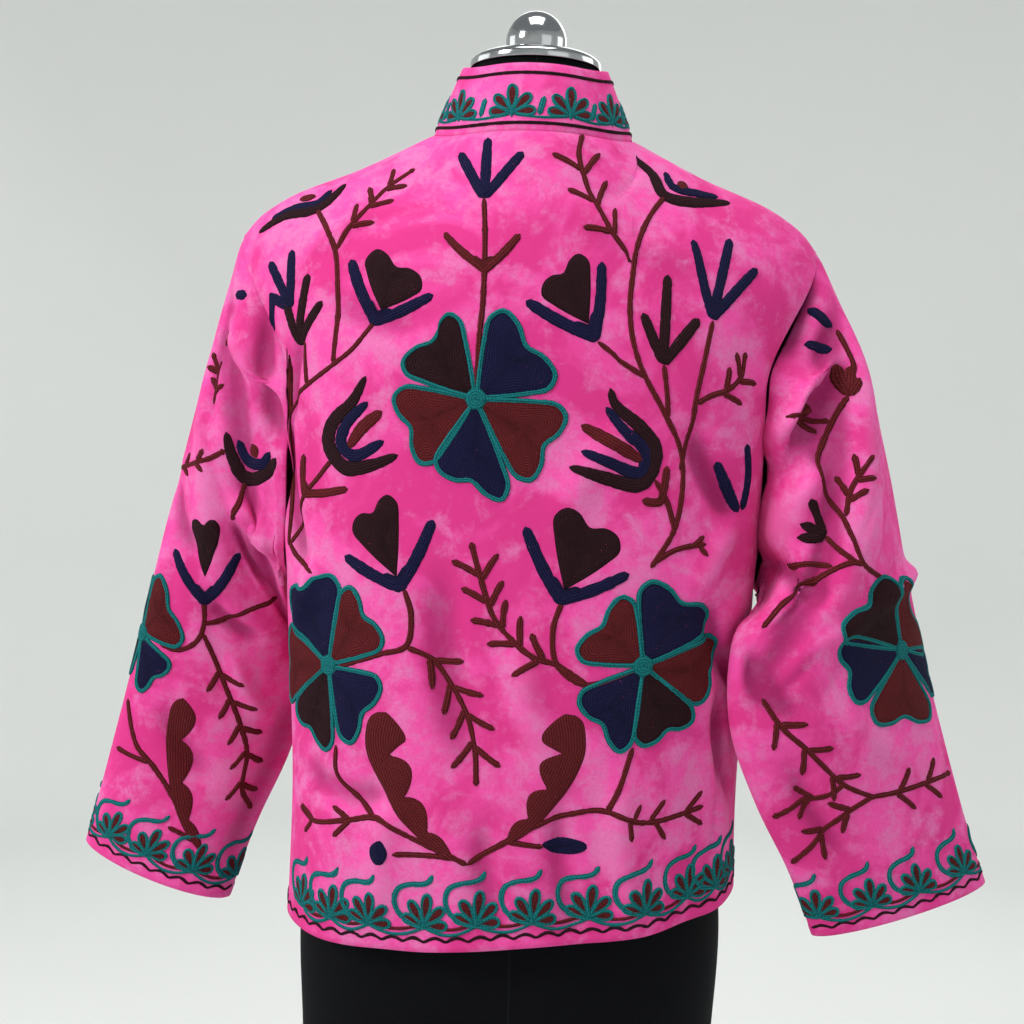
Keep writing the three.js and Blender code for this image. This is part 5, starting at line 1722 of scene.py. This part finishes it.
class JACKET_OT_stage(bpy.types.Operator):
    """Make the round pale studio, its soft lights and the camera."""
    bl_idname = "jacket.stage"
    bl_label = "Studio"

    def execute(self, context):
        radius = context.scene.jacket_sizes.room
        cove = 0.7
        curve = [(radius - cove + cove * math.sin(a), cove - cove * math.cos(a)) for a in arc(0, 90, 15)]
        profile = np.array([(0, 0), (1.2, 0), *curve, (radius, 3.6)]) / MM
        angle = np.linspace(0, 2 * math.pi, 129)
        x, y = profile[:, 0, None] * np.cos(angle), profile[:, 0, None] * np.sin(angle)
        points = np.stack([x, y, np.broadcast_to(profile[:, 1, None], x.shape)], -1)
        ids = np.arange(x.size).reshape(x.shape)
        ids[:, -1] = ids[:, 0]
        faces = np.stack([ids[:-1, :-1], ids[1:, :-1], ids[1:, 1:], ids[:-1, 1:]], -1).reshape(-1, 4)
        finish = room_finish(context.scene.jacket_colours)
        room = add_mesh("studio", points.reshape(-1, 3), faces, [finish])
        aim = (0, 0, 1.1)
        softbox("key", (-2.3, -1.5, 2.5), aim, 0.8, 62)
        softbox("fill", (1.7, -2.1, 1.5), aim, 1.8, 7)
        softbox("front", (0.6, 2.4, 2.2), aim, 1.8, 24)
        softbox("side_left", (-2.6, 0.6, 1.7), aim, 1.4, 10)
        softbox("side_right", (2.6, 0.6, 1.7), aim, 1.4, 12)
        softbox("overhead", (0, -0.4, 3.3), aim, 1.2, 30)
        world = bpy.data.worlds.new("studio_air")
        world.use_nodes = True
        sky = world.node_tree.nodes["Background"]
        sky.inputs["Color"].default_value = (0.9, 0.93, 0.95, 1)
        sky.inputs["Strength"].default_value = 0.36
        context.scene.world = world
        context.scene.view_settings.view_transform = "Standard"
        right, up, forward = camera_axes()
        lens = bpy.data.cameras.new("camera")
        lens.sensor_width = 36
        lens.lens = 36 * FOCAL
        eye = bpy.data.objects.new("camera", lens)
        context.scene.collection.objects.link(eye)
        turn = np.stack([right, up, -forward], 1)
        matrix = Matrix([[*turn[k], EYE[k] * MM] for k in range(3)] + [[0, 0, 0, 1]])
        eye.matrix_world = matrix
        context.scene.camera = eye
        return {"FINISHED"}


class JACKET_PT_panel(bpy.types.Panel):
    """Sizes, colours and pieces of the jacket."""
    bl_idname = "JACKET_PT_panel"
    bl_label = "Suzani Jacket"
    bl_space_type = "VIEW_3D"
    bl_region_type = "UI"
    bl_category = "Suzani Jacket"

    def draw(self, context):
        for group in (context.scene.jacket_sizes, context.scene.jacket_colours):
            box = self.layout.box()
            for name in group.__annotations__:
                box.prop(group, name)
        for operator in OPERATORS:
            self.layout.operator(operator.bl_idname)


OPERATORS = (JACKET_OT_back, JACKET_OT_fronts, JACKET_OT_sleeves, JACKET_OT_collar, JACKET_OT_form,
             JACKET_OT_stand, JACKET_OT_stage)
CLASSES = (JacketSizes, JacketColours, *OPERATORS, JACKET_PT_panel)


def register():
    """Adds the classes and the two groups of settings."""
    for item in CLASSES:
        bpy.utils.register_class(item)
    bpy.types.Scene.jacket_sizes = PointerProperty(type=JacketSizes)
    bpy.types.Scene.jacket_colours = PointerProperty(type=JacketColours)


def unregister():
    """Takes the classes and settings away again."""
    del bpy.types.Scene.jacket_sizes
    del bpy.types.Scene.jacket_colours
    for item in reversed(CLASSES):
        bpy.utils.unregister_class(item)


def main():
    """Builds everything in order."""
    register()
    bpy.ops.jacket.back()
    bpy.ops.jacket.fronts()
    bpy.ops.jacket.sleeves()
    bpy.ops.jacket.collar()
    bpy.ops.jacket.form()
    bpy.ops.jacket.stand()
    bpy.ops.jacket.stage()


if __name__ == "__main__":
    main()
